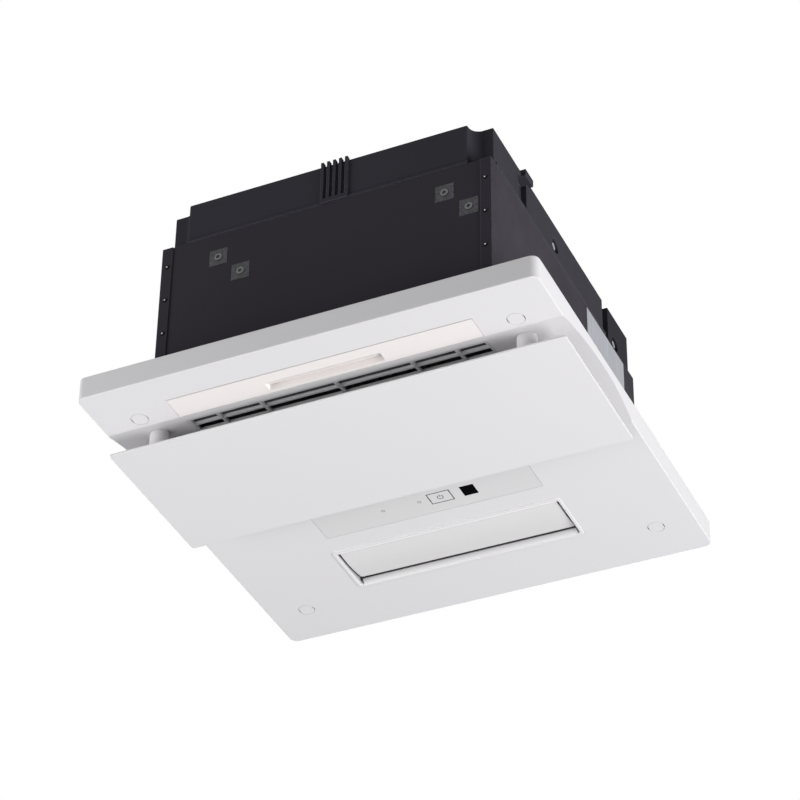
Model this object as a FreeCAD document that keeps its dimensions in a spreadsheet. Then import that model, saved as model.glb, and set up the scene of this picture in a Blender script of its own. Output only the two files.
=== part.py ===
import FreeCAD, Part
import math
import os
import re
import Sketcher

# A bathroom ceiling heater. Millimetres, +Z up, +X to the right, +Y away from the filter side.
# The origin is the middle of the ceiling plane: the panel hangs below it, the housing stands above it.

V = FreeCAD.Vector
doc = FreeCAD.newDocument("ceiling_heater")
sheet = doc.addObject("Spreadsheet::Sheet", "dims")

# Driving sizes
SIZES = {
    # front panel
    "panel_width": 460,
    "panel_depth": 460,
    "panel_height": 24,
    "panel_skin": 2.5,
    "panel_corner": 8,
    "panel_edge": 1,
    "seam": 0.8,
    # arched recess across the panel
    "recess_start": 62,
    "recess_length": 173,
    "recess_crest": 106,
    "recess_rise": 14,
    # hanging cover and its posts
    "cover_gap": 17.9,
    "cover_thick": 2.1,
    "cover_start": 67,
    "cover_length": 169.5,
    "cover_corner": 3,
    "cover_edge": 0.7,
    "post_radius": 9.5,
    "post_spread": 373,
    "post_start": 84,
    "post_pitch": 126,
    "post_head": 4,
    # intake grille
    "grille_width": 304,
    "grille_start": 9.6,
    "grille_length": 140.4,
    "grille_depth": 2.5,
    "grille_rim": 2.4,
    "slat_pitch": 12.45,
    "slat_width": 2.4,
    "rib_inner": 76.5,
    "rib_outer": 121,
    "rib_width": 3.2,
    "baffle_thick": 1.2,
    "baffle_rise": 6,
    "fit_gap": 0.3,
    # filter
    "filter_width": 307,
    "strip_start": 34,
    "strip_length": 28,
    "slide_tilt": 22,
    "filter_length": 180,
    "filter_thick": 4,
    "filter_bar": 9,
    "filter_rib": 4,
    "mesh_thick": 0.8,
    "ledge_width": 116,
    "ledge_depth": 12.1,
    "ledge_height": 7,
    "ledge_start": 12.4,
    "ledge_wall": 1.5,
    "rail_start": 78,
    "rail_thick": 2.5,
    "rail_hold": 4,
    # control strip
    "control_width": 229,
    "control_start": 241,
    "control_depth": 58.3,
    "lip_reach": 4,
    "lip_thick": 1.2,
    "button_width": 23.5,
    "button_depth": 17,
    "button_right": 16.7,
    "button_set": 36.3,
    "button_flange": 2,
    "button_travel": 1,
    "stem_radius": 2,
    "stem_length": 2.3,
    "receiver_width": 14,
    "receiver_depth": 15.5,
    "receiver_right": 46.5,
    "lens_radius": 1.7,
    "lens_first": -44,
    "lens_second": -5.6,
    "board_rise": 11,
    "board_thick": 1.6,
    "board_width": 150,
    "board_depth": 40,
    "standoff_radius": 2.5,
    "switch_side": 6,
    # outlet and louver
    "outlet_width": 244,
    "outlet_start": 322.8,
    "outlet_depth": 69.2,
    "outlet_corner": 5,
    "rim_width": 3.5,
    "rim_lap": 1.5,
    "rim_proud": 0.8,
    "neck_height": 20,
    "lip_slope": 4.5,
    "lip_rise": 4.5,
    "louver_end_gap": 3,
    "louver_near_gap": 7.5,
    "louver_far_gap": 10,
    "louver_corner": 3,
    "louver_thick": 2,
    "louver_set": 1.5,
    "louver_lift": 3.5,
    "louver_bow": 170,
    "pivot_start": 23.7,
    "pivot_rise": 9,
    "pivot_radius": 2.5,
    "cheek_thick": 2.5,
    "cheek_radius": 5,
    "run_gap": 0.05,
    "stepper_radius": 13,
    "stepper_length": 18,
    "stepper_offset": 8,
    # screws of the panel
    "cap_spread": 379,
    "cap_start": 50,
    "cap_pitch": 358.5,
    "cap_radius": 8.2,
    "cap_flat": 7.3,
    "cap_thick": 2.4,
    "cap_depth": 13,
    "boss_wall": 2.3,
    "screw_radius": 2,
    "screw_head": 4,
    "screw_head_height": 2.6,
    # sheet-metal housing
    "housing_width": 343.4,
    "housing_start": 40,
    "housing_depth": 371,
    "housing_end": 49,
    "housing_height": 166,
    "sheet": 1.2,
    "fold": 11,
    "plate_gap": 0.1,
    "flange_reach": 30,
    "flange_near": 15,
    "flange_far": 18,
    "flange_thick": 1.5,
    "flange_drop": 0.5,
    "flange_hole": 2.75,
    "flange_pitch": 240,
    "rivet_radius": 2.4,
    "rivet_height": 1.2,
    "rivet_inset": 6.2,
    "rivet_low": 61.5,
    "rivet_pitch": 40.3,
    "patch_side": 19,
    "patch_thick": 0.25,
    "bush_radius": 4,
    "bush_bore": 2,
    "bush_height": 0.7,
    "patch_left": -110.7,
    "patch_step": 24.5,
    "patch_pair": 235,
    "patch_top": 138,
    "label_start": 242,
    "label_length": 101,
    "label_height": 56,
    "label_top": 2,
    "label_thick": 0.3,
    # moulded lid and control box
    "lid_height": 50,
    "lid_inset": 3.7,
    "lid_setback": 1.5,
    "lid_depth": 295.5,
    "lid_wall": 2.2,
    "lid_edge": 2,
    "nose_width": 294,
    "nose_step": 13,
    "cove": 10,
    "lid_ribs": 5,
    "lid_rib_width": 2.8,
    "lid_rib_pitch": 6.3,
    "lid_rib_first": -4.2,
    "lid_rib_proud": 2.5,
    "lid_rib_over": 2.5,
    "lid_rib_foot": 5,
    "skirt_gap": 2,
    "skirt_height": 3,
    "skirt_clear": 0.5,
    "relief_start": 74,
    "relief_width": 20.5,
    "relief_depth": 6,
    "hook_start": 80.5,
    "hook_length": 19,
    "hook_thick": 5.2,
    "hook_height": 8,
    "side_screw": 168,
    "side_screw_rise": 22.5,
    "side_boss": 10,
    "side_pocket": 8,
    "side_pocket_depth": 6,
    "side_head": 4.5,
    "side_head_height": 2.5,
    "box_gap": 16,
    "box_depth": 55,
    "box_height": 51.5,
    "box_width": 200,
    "box_screw": 18.5,
    "box_screw_rise": 16.5,
    "main_board_width": 150,
    "main_board_depth": 36,
    "main_board_rise": 8,
    "terminal_ways": 5,
    "terminal_pitch": 9,
    "terminal_depth": 18,
    "terminal_height": 16,
    "terminal_wall": 2,
    "terminal_hole": 2.6,
    "gland_radius": 10,
    "gland_bore": 5.5,
    "gland_length": 16,
    "gland_nut": 5,
    "gland_inset": 40,
    "gland_rise": 26,
    # fan
    "fan_start": 115,
    "floor_rise": 62,
    "floor_thick": 2,
    "inlet_radius": 66,
    "inlet_flare": 20,
    "inlet_height": 10,
    "inlet_bevel": 2,
    "inlet_wall": 1.5,
    "scroll_height": 64,
    "scroll_radius": 93,
    "scroll_growth": 7,
    "scroll_wall": 2,
    "tongue_turn": 50,
    "impeller_radius": 84,
    "blade_inner": 69,
    "blade_count": 36,
    "blade_thick": 1.2,
    "blade_curve": 14,
    "blade_lead": 8,
    "impeller_gap": 6,
    "back_thick": 2,
    "ring_height": 4,
    "ring_wall": 4,
    "hub_radius": 11,
    "hub_height": 30,
    "dish_radius": 56,
    "dish_depth": 20,
    "shaft_radius": 4,
    "shaft_tail": 50,
    "motor_radius": 46,
    "motor_height": 54,
    "motor_flange": 58,
    "motor_flange_thick": 3,
    "motor_pass": 36,
    "motor_bevel": 6,
    "motor_screw_circle": 52,
    "deck_hole": 60,
    # air path above the outlet
    "partition_start": 235,
    "chute_wall": 2,
    "chute_height": 18,
    "chute_top_start": 254,
    "chute_top_depth": 94,
    "heater_height": 30,
    "heater_bar": 8,
    "fin_count": 24,
    "fin_set": 3,
    "fin_thick": 0.8,
    "ptc_rows": 4,
    "ptc_thick": 6,
    "cutout_radius": 8,
    "cutout_height": 6,
    "cutout_rise": 30,
    "cutout_right": 60,
    "damper_inset": 11,
    "damper_rise": 52,
    "damper_width": 296,
    "damper_length": 106,
    "damper_thick": 2,
    "damper_shaft": 3,
    "damper_sleeve": 5,
    "damper_hem": 6,
    "bearing_width": 10,
    "bearing_side": 16,
    "damper_motor": 14,
    # duct adaptor
    "duct_rise": 106,
    "duct_radius": 49,
    "duct_wall": 2,
    "duct_length": 60,
    "duct_plate": 124,
    "duct_plate_thick": 2,
    "duct_plate_corner": 8,
    "duct_screw_pitch": 106,
    "stop_width": 4,
    "stop_start": 8,
    "stop_thick": 3,
    "flap_radius": 44.5,
    "flap_thick": 1.2,
    "flap_hinge": 36,
    "flap_pin": 1.5,
    "flap_sleeve": 2.6,
    "flap_sleeve_length": 34,
}
for row, (alias, size) in enumerate(SIZES.items(), 1):
    sheet.set(f"A{row}", alias)
    sheet.set(f"B{row}", str(size))
    sheet.setAlias(f"B{row}", alias)
doc.recompute()

# Places that follow from the driving sizes
PLACES = {
    "near_edge": "-panel_depth / 2",
    "stretch": "panel_depth / (housing_start + housing_depth + housing_end)",
    "panel_base": "-panel_height",
    "panel_floor": "panel_base + panel_skin",
    "recess_near": "near_edge + recess_start * stretch",
    "recess_far": "recess_near + recess_length * stretch",
    "recess_run": "recess_crest * stretch",
    "crest": "recess_near + recess_run",
    "crest_top": "panel_base + recess_rise",
    "recess_tail": "recess_length * stretch - recess_run",
    "near_radius": "(recess_run^2 + recess_rise^2) / (2 * recess_rise)",
    "far_radius": "(recess_tail^2 + recess_rise^2) / (2 * recess_rise)",
    "cover_top": "panel_base - cover_gap",
    "cover_base": "cover_top - cover_thick",
    "cover_near": "near_edge + cover_start * stretch",
    "cover_far": "cover_near + cover_length * stretch",
    "post_near": "near_edge + post_start * stretch",
    "post_far": "post_near + post_pitch * stretch",
    "post_right": "post_spread / 2",
    "grille_near": "recess_near + grille_start * stretch",
    "grille_far": "grille_near + grille_length * stretch",
    "grille_right": "grille_width / 2",
    "strip_near": "near_edge + strip_start * stretch",
    "strip_span": "strip_length * stretch",
    "strip_far": "strip_near + strip_span",
    "filter_right": "filter_width / 2",
    "filter_drop": "(filter_thick + mesh_thick) / cos(slide_tilt)",
    "control_near": "near_edge + control_start * stretch",
    "control_far": "control_near + control_depth * stretch",
    "button_back": "control_near + button_set * stretch",
    "control_right": "control_width / 2",
    "lip_top": "panel_floor + lip_thick",
    "board_base": "lip_top + board_rise",
    "outlet_near": "near_edge + outlet_start * stretch",
    "outlet_far": "outlet_near + outlet_depth * stretch",
    "outlet_right": "outlet_width / 2",
    "mouth_near": "outlet_near + rim_width",
    "mouth_far": "outlet_far - rim_width",
    "mouth_right": "outlet_right - rim_width",
    "slot_near": "outlet_near + rim_lap",
    "slot_far": "outlet_far - rim_lap",
    "slot_right": "outlet_right - rim_lap",
    "neck_top": "panel_base + neck_height",
    "louver_near": "outlet_near + louver_near_gap",
    "louver_far": "outlet_far - louver_far_gap",
    "louver_right": "mouth_right - louver_end_gap",
    "pivot_y": "outlet_near + pivot_start * stretch",
    "pivot_z": "panel_base + pivot_rise",
    "cap_right": "cap_spread / 2",
    "cap_near": "near_edge + cap_start * stretch",
    "cap_far": "cap_near + cap_pitch * stretch",
    "flange_top": "-flange_drop",
    "flange_base": "flange_top - flange_thick",
    "wall_right": "housing_width / 2",
    "wall_inner": "wall_right - sheet",
    "plate_right": "wall_inner - plate_gap",
    "housing_near": "near_edge + housing_start * stretch",
    "housing_far": "housing_near + housing_depth * stretch",
    "chamber_near": "housing_near + sheet + plate_gap",
    "chamber_far": "housing_far - sheet - plate_gap",
    "deck_top": "housing_height",
    "lid_right": "wall_right - lid_inset",
    "lid_near": "housing_near + lid_setback",
    "lid_far": "lid_near + lid_depth * stretch",
    "lid_top": "deck_top + lid_height",
    "nose_right": "nose_width / 2",
    "skirt_base": "deck_top + skirt_gap",
    "skirt_top": "skirt_base + skirt_height",
    "box_near": "lid_far + box_gap * stretch",
    "box_far": "box_near + box_depth * stretch",
    "box_top": "deck_top + box_height",
    "box_left": "lid_right - box_width",
    "fan_y": "housing_near + fan_start * stretch",
    "floor_top": "floor_rise + floor_thick",
    "scroll_top_base": "floor_top + scroll_height",
    "motor_base": "scroll_top_base + floor_thick",
    "impeller_base": "floor_top + impeller_gap",
    "impeller_top": "scroll_top_base - impeller_gap",
    "partition_near": "housing_near + partition_start * stretch",
    "partition_far": "partition_near + sheet",
    "chute_top": "neck_top + chute_height",
    "chute_near": "housing_near + chute_top_start * stretch",
    "chute_far": "chute_near + chute_top_depth * stretch",
    "heater_top": "chute_top + heater_height",
    "tongue_x": "scroll_radius * cos(tongue_turn)",
    "outlet_x": "scroll_radius + 3 * scroll_growth",
    "damper_y": "housing_far - damper_inset",
    "main_board_base": "deck_top + main_board_rise",
    "deck_base": "deck_top - sheet - plate_gap",
    "damper_right": "damper_width / 2",
    "bearing_near": "damper_right + 2 * fit_gap",
    "bearing_far": "bearing_near + bearing_width",
    "adaptor_near": "housing_far + duct_plate_thick",
    "duct_bore": "duct_radius - duct_wall",
    "stop_far": "adaptor_near + stop_start + stop_thick",
    "flap_near": "stop_far + fit_gap",
    "flap_y": "flap_near + flap_thick / 2",
    "flap_z": "duct_rise + flap_hinge",
}
NODES = {}
WORD = re.compile(r"[a-z][a-z_0-9]*")


def formula(text):
    """The text of a size with each of its words written out as cells of the sheet."""

    def cell(match):
        word = match.group(0)
        if word in SIZES:
            return f"dims.{word}"
        if word in PLACES:
            return f"({formula(PLACES[word])})"
        return word

    return WORD.sub(cell, str(text))


def number(text):
    """The present value of a formula."""
    return float(sheet.evalExpression(formula(text)))


def keep(label, piece):
    """Names a finished sub-part."""
    piece.Label = label
    NODES[label] = piece
    return piece


def tie(piece, **rules):
    """Binds properties of a piece to formulas; a double underscore stands for a dot."""
    for name, text in rules.items():
        piece.setExpression(name.replace("__", "."), formula(text))


def new_body(label):
    return keep(label, doc.addObject("PartDesign::Body", label))


def sketch(body, plane, level="0"):
    """A sketch on one of the body's origin planes, moved along the plane's normal to a level."""
    drawn = body.newObject("Sketcher::SketchObject", f"{body.Name}_sketch")
    support = [item for item in body.Origin.OriginFeatures if item.Role == plane][0]
    drawn.AttachmentSupport = (support, [""])
    drawn.MapMode = "FlatFace"
    tie(drawn, AttachmentOffset__Base__z=level)
    return drawn


def dimension(drawn, kind, places, text):
    """A dimension of a sketch that follows the sheet."""
    index = drawn.addConstraint(Sketcher.Constraint(kind, *places, number(text)))
    drawn.setExpression(f"Constraints[{index}]", formula(text))


def pin(drawn, geometry, point, x, y):
    """Ties a point of a sketch to the sketch's origin."""
    dimension(drawn, "DistanceX", (-1, 1, geometry, point), x)
    dimension(drawn, "DistanceY", (-1, 1, geometry, point), y)


def bearing(vector):
    return math.atan2(vector.y, vector.x)


def profile(drawn, corners):
    """A closed outline. A corner is (x, y), or (x, y, radius, turn) where an arc leads on from it;
    turn is 1 for an arc that bends left and -1 for one that bends right."""
    spots = [V(number(corner[0]), number(corner[1]), 0) for corner in corners]
    ends = []
    for i, corner in enumerate(corners):
        start, finish = spots[i], spots[(i + 1) % len(spots)]
        if len(corner) == 2:
            ends.append((drawn.addGeometry(Part.LineSegment(start, finish)), 1, 2))
            continue
        radius, turn = number(corner[2]), corner[3]
        half = (finish - start) * 0.5
        reach = math.sqrt(radius**2 - half.Length**2) / half.Length
        centre = start + half + V(-half.y, half.x, 0) * (turn * reach)
        first, last = (start, finish) if turn > 0 else (finish, start)
        circle = Part.Circle(centre, V(0, 0, 1), radius)
        arc = Part.ArcOfCircle(circle, bearing(first - centre), bearing(last - centre))
        index = drawn.addGeometry(arc)
        ends.append((index, 1, 2) if turn > 0 else (index, 2, 1))
        dimension(drawn, "Radius", (index,), corner[2])
    for i, (index, start, finish) in enumerate(ends):
        following = ends[(i + 1) % len(ends)]
        drawn.addConstraint(Sketcher.Constraint("Coincident", index, finish, following[0], following[1]))
        pin(drawn, index, start, corners[i][0], corners[i][1])


def rectangle(drawn, x_low, y_low, x_high, y_high):
    profile(drawn, [(x_low, y_low), (x_high, y_low), (x_high, y_high), (x_low, y_high)])


def rounded(drawn, x_low, y_low, x_high, y_high, radius):
    """A rectangle with round corners."""
    left, right = f"{x_low} + {radius}", f"{x_high} - ({radius})"
    low, high = f"{y_low} + {radius}", f"{y_high} - ({radius})"
    profile(
        drawn,
        [
            (left, y_low),
            (right, y_low, radius, 1),
            (x_high, low),
            (x_high, high, radius, 1),
            (right, y_high),
            (left, y_high, radius, 1),
            (x_low, high),
            (x_low, low, radius, 1),
        ],
    )


def circles(drawn, spots, radius):
    for x, y in spots:
        index = drawn.addGeometry(Part.Circle(V(number(x), number(y), 0), V(0, 0, 1), number(radius)))
        pin(drawn, index, 3, x, y)
        dimension(drawn, "Radius", (index,), radius)


def pad(body, drawn, length, side="One side", reverse=False):
    made = body.newObject("PartDesign::Pad", f"{body.Name}_pad")
    made.Profile = drawn
    made.SideType = side
    made.Reversed = reverse
    tie(made, Length=length)
    return made


def pocket(body, drawn, length, side="One side", reverse=False):
    """A cut that has to take something away."""
    doc.recompute()
    before = body.Shape.Volume
    made = body.newObject("PartDesign::Pocket", f"{body.Name}_pocket")
    made.Profile = drawn
    made.SideType = side
    made.Reversed = reverse
    tie(made, Length=length)
    doc.recompute()
    if not made.Shape.Volume < before:
        raise RuntimeError(f"{body.Name}: a pocket cuts nothing")
    return made


def repeat(body, source, axis, pitch, count):
    """A row of copies of a feature along one of the body's axes."""
    doc.recompute()
    made = body.newObject("PartDesign::LinearPattern", f"{body.Name}_row")
    made.Originals = [source]
    made.Direction = ([item for item in body.Origin.OriginFeatures if item.Role == axis][0], [""])
    made.Mode = "Spacing"
    tie(made, Offset=pitch, Occurrences=count)
    body.Tip = made
    return made


def fillet(body, radius, choose):
    """Rounds the edges of a body that a test picks out."""
    doc.recompute()
    base = body.Tip
    names = [f"Edge{i}" for i, edge in enumerate(base.Shape.Edges, 1) if choose(edge)]
    made = body.newObject("PartDesign::Fillet", f"{body.Name}_fillet")
    made.Base = (base, names)
    tie(made, Radius=radius)
    return made


def level_edge(height):
    """A test for edges that lie flat at a height."""
    level = number(height)

    def test(edge):
        box = edge.BoundBox
        return abs(box.ZMin - level) < 1e-6 and abs(box.ZMax - level) < 1e-6

    return test


def upright_edge(y):
    """A test for edges that stand upright at a place along the depth."""
    place = number(y)

    def test(edge):
        box = edge.BoundBox
        return abs(box.YMin - place) < 1e-6 and abs(box.YMax - place) < 1e-6 and box.XLength < 1e-6

    return test


def block(name, low, high):
    """A box between two corners."""
    made = doc.addObject("Part::Box", name)
    for axis, side, start, finish in zip("xyz", ("Length", "Width", "Height"), low, high):
        made.setExpression(f"Placement.Base.{axis}", formula(start))
        made.setExpression(side, formula(f"{finish} - ({start})"))
    return made


TURNS = {
    "X": FreeCAD.Rotation(V(0, 1, 0), 90),
    "Y": FreeCAD.Rotation(V(1, 0, 0), -90),
    "Z": FreeCAD.Rotation(),
}


def rod(name, axis, start, radius, length):
    """A cylinder that runs from a point along an axis."""
    made = doc.addObject("Part::Cylinder", name)
    made.Placement = FreeCAD.Placement(V(), TURNS[axis])
    for letter, text in zip("xyz", start):
        made.setExpression(f"Placement.Base.{letter}", formula(text))
    tie(made, Radius=radius, Height=length)
    return made


def cut(name, base, *tools):
    """A piece less one tool or several."""
    made = base
    for tool in tools:
        result = doc.addObject("Part::Cut", name)
        result.Base = made
        result.Tool = tool
        made = result
    return made


def fuse(name, *pieces):
    made = doc.addObject("Part::MultiFuse", name)
    made.Shapes = list(pieces)
    made.Refine = True
    return made


def group(label, pieces):
    """Like pieces that share one sub-part as separate solids."""
    made = doc.addObject("Part::Compound", label)
    made.Links = list(pieces)
    return keep(label, made)


def vault(y, side, lift="0"):
    """Height of the recess's vault, lifted along its radius, at a place on its near or far side."""
    return f"crest_top - {side}_radius + sqrt(({side}_radius + {lift})^2 - ({y} - crest)^2)"


CAP_SPOTS = [(f"{sign}cap_right", y) for sign in ("-", "") for y in ("cap_near", "cap_far")]
POST_SPOTS = [(f"{sign}post_right", y) for sign in ("-", "") for y in ("post_near", "post_far")]


# Front panel: a tray whose floor arches up into the intake recess
def front_panel():
    body = new_body("front_panel")
    outline = sketch(body, "XY_Plane", "panel_base")
    half_width, half_depth = "panel_width / 2", "panel_depth / 2"
    rounded(outline, f"-{half_width}", f"-{half_depth}", half_width, half_depth, "panel_corner")
    pad(body, outline, "panel_height")
    fillet(body, "panel_edge", level_edge("panel_base"))
    tray = sketch(body, "XY_Plane")
    inner_x, inner_y = "(panel_width / 2 - panel_skin)", "(panel_depth / 2 - panel_skin)"
    rounded(tray, f"-{inner_x}", f"-{inner_y}", inner_x, inner_y, "(panel_corner - panel_skin)")
    pocket(body, tray, "panel_height - panel_skin")
    arch = sketch(body, "YZ_Plane")
    arch_near = "crest - sqrt((near_radius + panel_skin)^2 - (near_radius + panel_skin - recess_rise)^2)"
    arch_far = "crest + sqrt((far_radius + panel_skin)^2 - (far_radius + panel_skin - recess_rise)^2)"
    profile(
        arch,
        [
            (arch_near, "panel_floor", "near_radius + panel_skin", -1),
            ("crest", "crest_top + panel_skin", "far_radius + panel_skin", -1),
            (arch_far, "panel_floor"),
            (arch_far, "panel_floor - panel_skin / 2"),
            (arch_near, "panel_floor - panel_skin / 2"),
        ],
    )
    pad(body, arch, "panel_width - panel_skin", "Symmetric")
    recess = sketch(body, "YZ_Plane")
    profile(
        recess,
        [
            ("recess_near", "panel_base", "near_radius", -1),
            ("crest", "crest_top", "far_radius", -1),
            ("recess_far", "panel_base"),
            ("recess_far", "panel_base - panel_skin"),
            ("recess_near", "panel_base - panel_skin"),
        ],
    )
    pocket(body, recess, "2 * panel_width", "Symmetric")
    bosses = sketch(body, "XY_Plane", "panel_floor")
    circles(bosses, CAP_SPOTS, "cap_radius + fit_gap + boss_wall")
    pad(body, bosses, "flange_base - panel_floor")
    windows = sketch(body, "XY_Plane")
    rectangle(windows, "-grille_right", "grille_near", "grille_right", "grille_far")
    reach = "control_right + fit_gap"
    rectangle(windows, f"-({reach})", "control_near - fit_gap", reach, "control_far + fit_gap")
    rectangle(windows, "-slot_right", "slot_near", "slot_right", "slot_far")
    circles(windows, POST_SPOTS, "post_radius + fit_gap")
    circles(windows, CAP_SPOTS, "screw_radius + fit_gap")
    pocket(body, windows, "panel_height")
    caps = sketch(body, "XY_Plane", "panel_base")
    circles(caps, CAP_SPOTS, "cap_radius + fit_gap")
    pocket(body, caps, "cap_depth", reverse=True)
    # The filter's window has a near side that slopes with the filter's slide
    window = sketch(body, "YZ_Plane")
    profile(
        window,
        [
            ("strip_near - seam - panel_skin / tan(slide_tilt)", "panel_base - panel_skin"),
            ("strip_far + seam", "panel_base - panel_skin"),
            ("strip_far + seam", "panel_floor + panel_skin"),
            ("strip_near - seam + 2 * panel_skin / tan(slide_tilt)", "panel_floor + panel_skin"),
        ],
    )
    pocket(body, window, "filter_width + 2 * fit_gap", "Symmetric")


# Hanging cover: a flat plate as wide as the panel, carried on four posts
def hanging_cover():
    body = new_body("hanging_cover")
    outline = sketch(body, "XY_Plane", "cover_base")
    half = "panel_width / 2"
    rounded(outline, f"-{half}", "cover_near", half, "cover_far", "cover_corner")
    pad(body, outline, "cover_thick")
    fillet(body, "cover_edge", level_edge("cover_base"))
    posts = []
    for x, y in POST_SPOTS:
        side = "near" if y == "post_near" else "far"
        top = vault(y, side, "panel_skin + post_head")
        posts.append(rod("post", "Z", (x, y, "cover_top"), "post_radius", f"{top} - cover_top"))
    group("cover_posts", posts)


# Intake grille: an arched plate, flush with the recess, cut into rows of slots
def intake_grille():
    body = new_body("intake_grille")
    near, far = "(grille_near + fit_gap)", "(grille_far - fit_gap)"
    band = sketch(body, "YZ_Plane")
    profile(
        band,
        [
            (near, vault(near, "near"), "near_radius", -1),
            ("crest", "crest_top", "far_radius", -1),
            (far, vault(far, "far")),
            (far, vault(far, "far", "grille_depth"), "far_radius + grille_depth", 1),
            ("crest", "crest_top + grille_depth", "near_radius + grille_depth", 1),
            (near, vault(near, "near", "grille_depth")),
        ],
    )
    pad(body, band, "grille_width - 2 * fit_gap", "Symmetric")
    row = sketch(body, "XY_Plane")
    low = f"{near} + grille_rim"
    high = f"{low} + slat_pitch - slat_width"
    half_rib = "rib_width / 2"
    columns = [
        (half_rib, f"rib_inner - {half_rib}"),
        (f"rib_inner + {half_rib}", f"rib_outer - {half_rib}"),
        (f"rib_outer + {half_rib}", "grille_right - fit_gap - grille_rim"),
    ]
    for left, right in columns:
        rectangle(row, left, low, right, high)
        rectangle(row, f"-({right})", low, f"-({left})", high)
    slots = pocket(body, row, "panel_height")
    rows = "floor((grille_far - grille_near - 2 * (fit_gap + grille_rim) + slat_width) / slat_pitch)"
    repeat(body, slots, "Y_Axis", "slat_pitch", rows)
    # A slanted baffle closes the first row, where the filter slides in behind it: it stands on the near rim
    # and comes down to the first slat
    baffle = sketch(body, "YZ_Plane")
    start, end = f"({low} - baffle_thick)", f"({high} + slat_width / 2)"
    rim, top = vault(start, "near", "grille_depth / 2"), vault(start, "near", "baffle_rise")
    foot = vault(end, "near", "grille_depth")
    profile(
        baffle,
        [
            (start, rim),
            (low, rim),
            (low, f"{top} - baffle_thick"),
            (end, f"{foot} - baffle_thick"),
            (end, foot),
            (start, top),
        ],
    )
    pad(body, baffle, "grille_width - 2 * fit_gap - grille_rim", "Symmetric")


def on_slide(body):
    """Tilts a body's frame to the filter's slide: its Y runs up the slide from the strip's near edge."""
    body.Placement = FreeCAD.Placement(V(), FreeCAD.Rotation(V(1, 0, 0), number("slide_tilt")))
    tie(body, Placement__Base__y="strip_near", Placement__Base__z="panel_base")
    tie(body, Placement__Rotation__Angle="slide_tilt")


# Filter: a front strip that closes the panel, a ribbed frame on the slide and a mesh
def intake_filter():
    strip = new_body("filter_front")
    section = sketch(strip, "YZ_Plane")
    back = "(strip_far - panel_skin)"
    profile(
        section,
        [
            ("strip_near", "panel_base"),
            ("strip_far", "panel_base"),
            ("strip_far", "panel_base + strip_span * tan(slide_tilt) - filter_drop"),
            (back, "panel_base + (strip_span - panel_skin) * tan(slide_tilt) - filter_drop"),
            (back, "panel_floor"),
            ("strip_near + panel_skin / tan(slide_tilt)", "panel_floor"),
        ],
    )
    pad(strip, section, "filter_width", "Symmetric")
    start = "(strip_near + ledge_start * stretch)"
    end = f"({start} + ledge_depth * stretch)"
    roof = "panel_base + ledge_height + ledge_wall"
    bulge = sketch(strip, "YZ_Plane")
    crown = (f"{end} - ledge_wall", roof)
    profile(bulge, [(start, "panel_floor"), (back, "panel_floor"), (back, roof), crown])
    pad(strip, bulge, "ledge_width + 2 * ledge_wall", "Symmetric")
    scoop = sketch(strip, "YZ_Plane")
    profile(scoop, [(start, "panel_base"), (end, "panel_base"), (end, "panel_base + ledge_height")])
    pocket(strip, scoop, "ledge_width", "Symmetric")
    frame = new_body("filter_frame")
    on_slide(frame)
    start = "(strip_span - panel_skin) / cos(slide_tilt)"
    outline = sketch(frame, "XY_Plane", "-mesh_thick")
    rectangle(outline, "-filter_right", start, "filter_right", "filter_length")
    pad(frame, outline, "filter_thick", reverse=True)
    bays = sketch(frame, "XY_Plane", "-mesh_thick")
    low, high = f"{start} + filter_bar", "filter_length - filter_bar"
    third = "(2 * filter_right - 2 * filter_bar - 2 * filter_rib) / 3"
    for i in range(3):
        left = f"filter_bar - filter_right + {i} * ({third} + filter_rib)"
        rectangle(bays, left, low, f"{left} + {third}", high)
    pocket(frame, bays, "filter_thick")
    mesh = new_body("filter_mesh")
    on_slide(mesh)
    net = sketch(mesh, "XY_Plane")
    edge = "filter_bar / 2"
    rectangle(
        net,
        f"{edge} - filter_right",
        f"{start} + {edge}",
        f"filter_right - {edge}",
        f"filter_length - {edge}",
    )
    pad(mesh, net, "mesh_thick", reverse=True)
    rails = []
    for sign in (-1, 1):
        rail = doc.addObject("Part::Box", "rail")
        on_slide(rail)
        inner = "(filter_right - rail_hold)"
        left = inner if sign > 0 else "-wall_inner"
        drop = "(mesh_thick + filter_thick + fit_gap + rail_thick)"
        tie(rail, Length=f"wall_inner - {inner}", Width="filter_length - rail_start", Height="rail_thick")
        tie(rail, Placement__Base__x=left)
        tie(rail, Placement__Base__y=f"strip_near + rail_start * cos(slide_tilt) + {drop} * sin(slide_tilt)")
        tie(rail, Placement__Base__z=f"panel_base + rail_start * sin(slide_tilt) - {drop} * cos(slide_tilt)")
        rails.append(rail)
    group("filter_rails", rails)


# Control strip: a flush plate with a lip inside the panel, and what sits in it
def control_strip():
    body = new_body("control_strip")
    plate = sketch(body, "XY_Plane", "panel_base")
    rectangle(plate, "-control_right", "control_near", "control_right", "control_far")
    pad(body, plate, "panel_skin")
    lip = sketch(body, "XY_Plane", "panel_floor")
    reach = "(control_right + lip_reach)"
    rectangle(lip, f"-{reach}", "control_near - lip_reach", reach, "control_far + lip_reach")
    pad(body, lip, "lip_thick")
    standoffs = sketch(body, "XY_Plane", "lip_top")
    across, along = "(board_width / 2 - 2 * standoff_radius)", "(board_depth / 2 - 2 * standoff_radius)"
    spots = [(f"{p}{across}", f"button_back {q} {along}") for p in ("-", "") for q in "-+"]
    circles(standoffs, spots, "standoff_radius")
    pad(body, standoffs, "board_rise")
    holes = sketch(body, "XY_Plane", "lip_top")
    opening(holes, "button_right", "button_width", "button_depth")
    opening(holes, "receiver_right", "receiver_width", "receiver_depth")
    circles(holes, [("lens_first", "button_back"), ("lens_second", "button_back")], "lens_radius + fit_gap")
    pocket(body, holes, "panel_skin + lip_thick")


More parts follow.
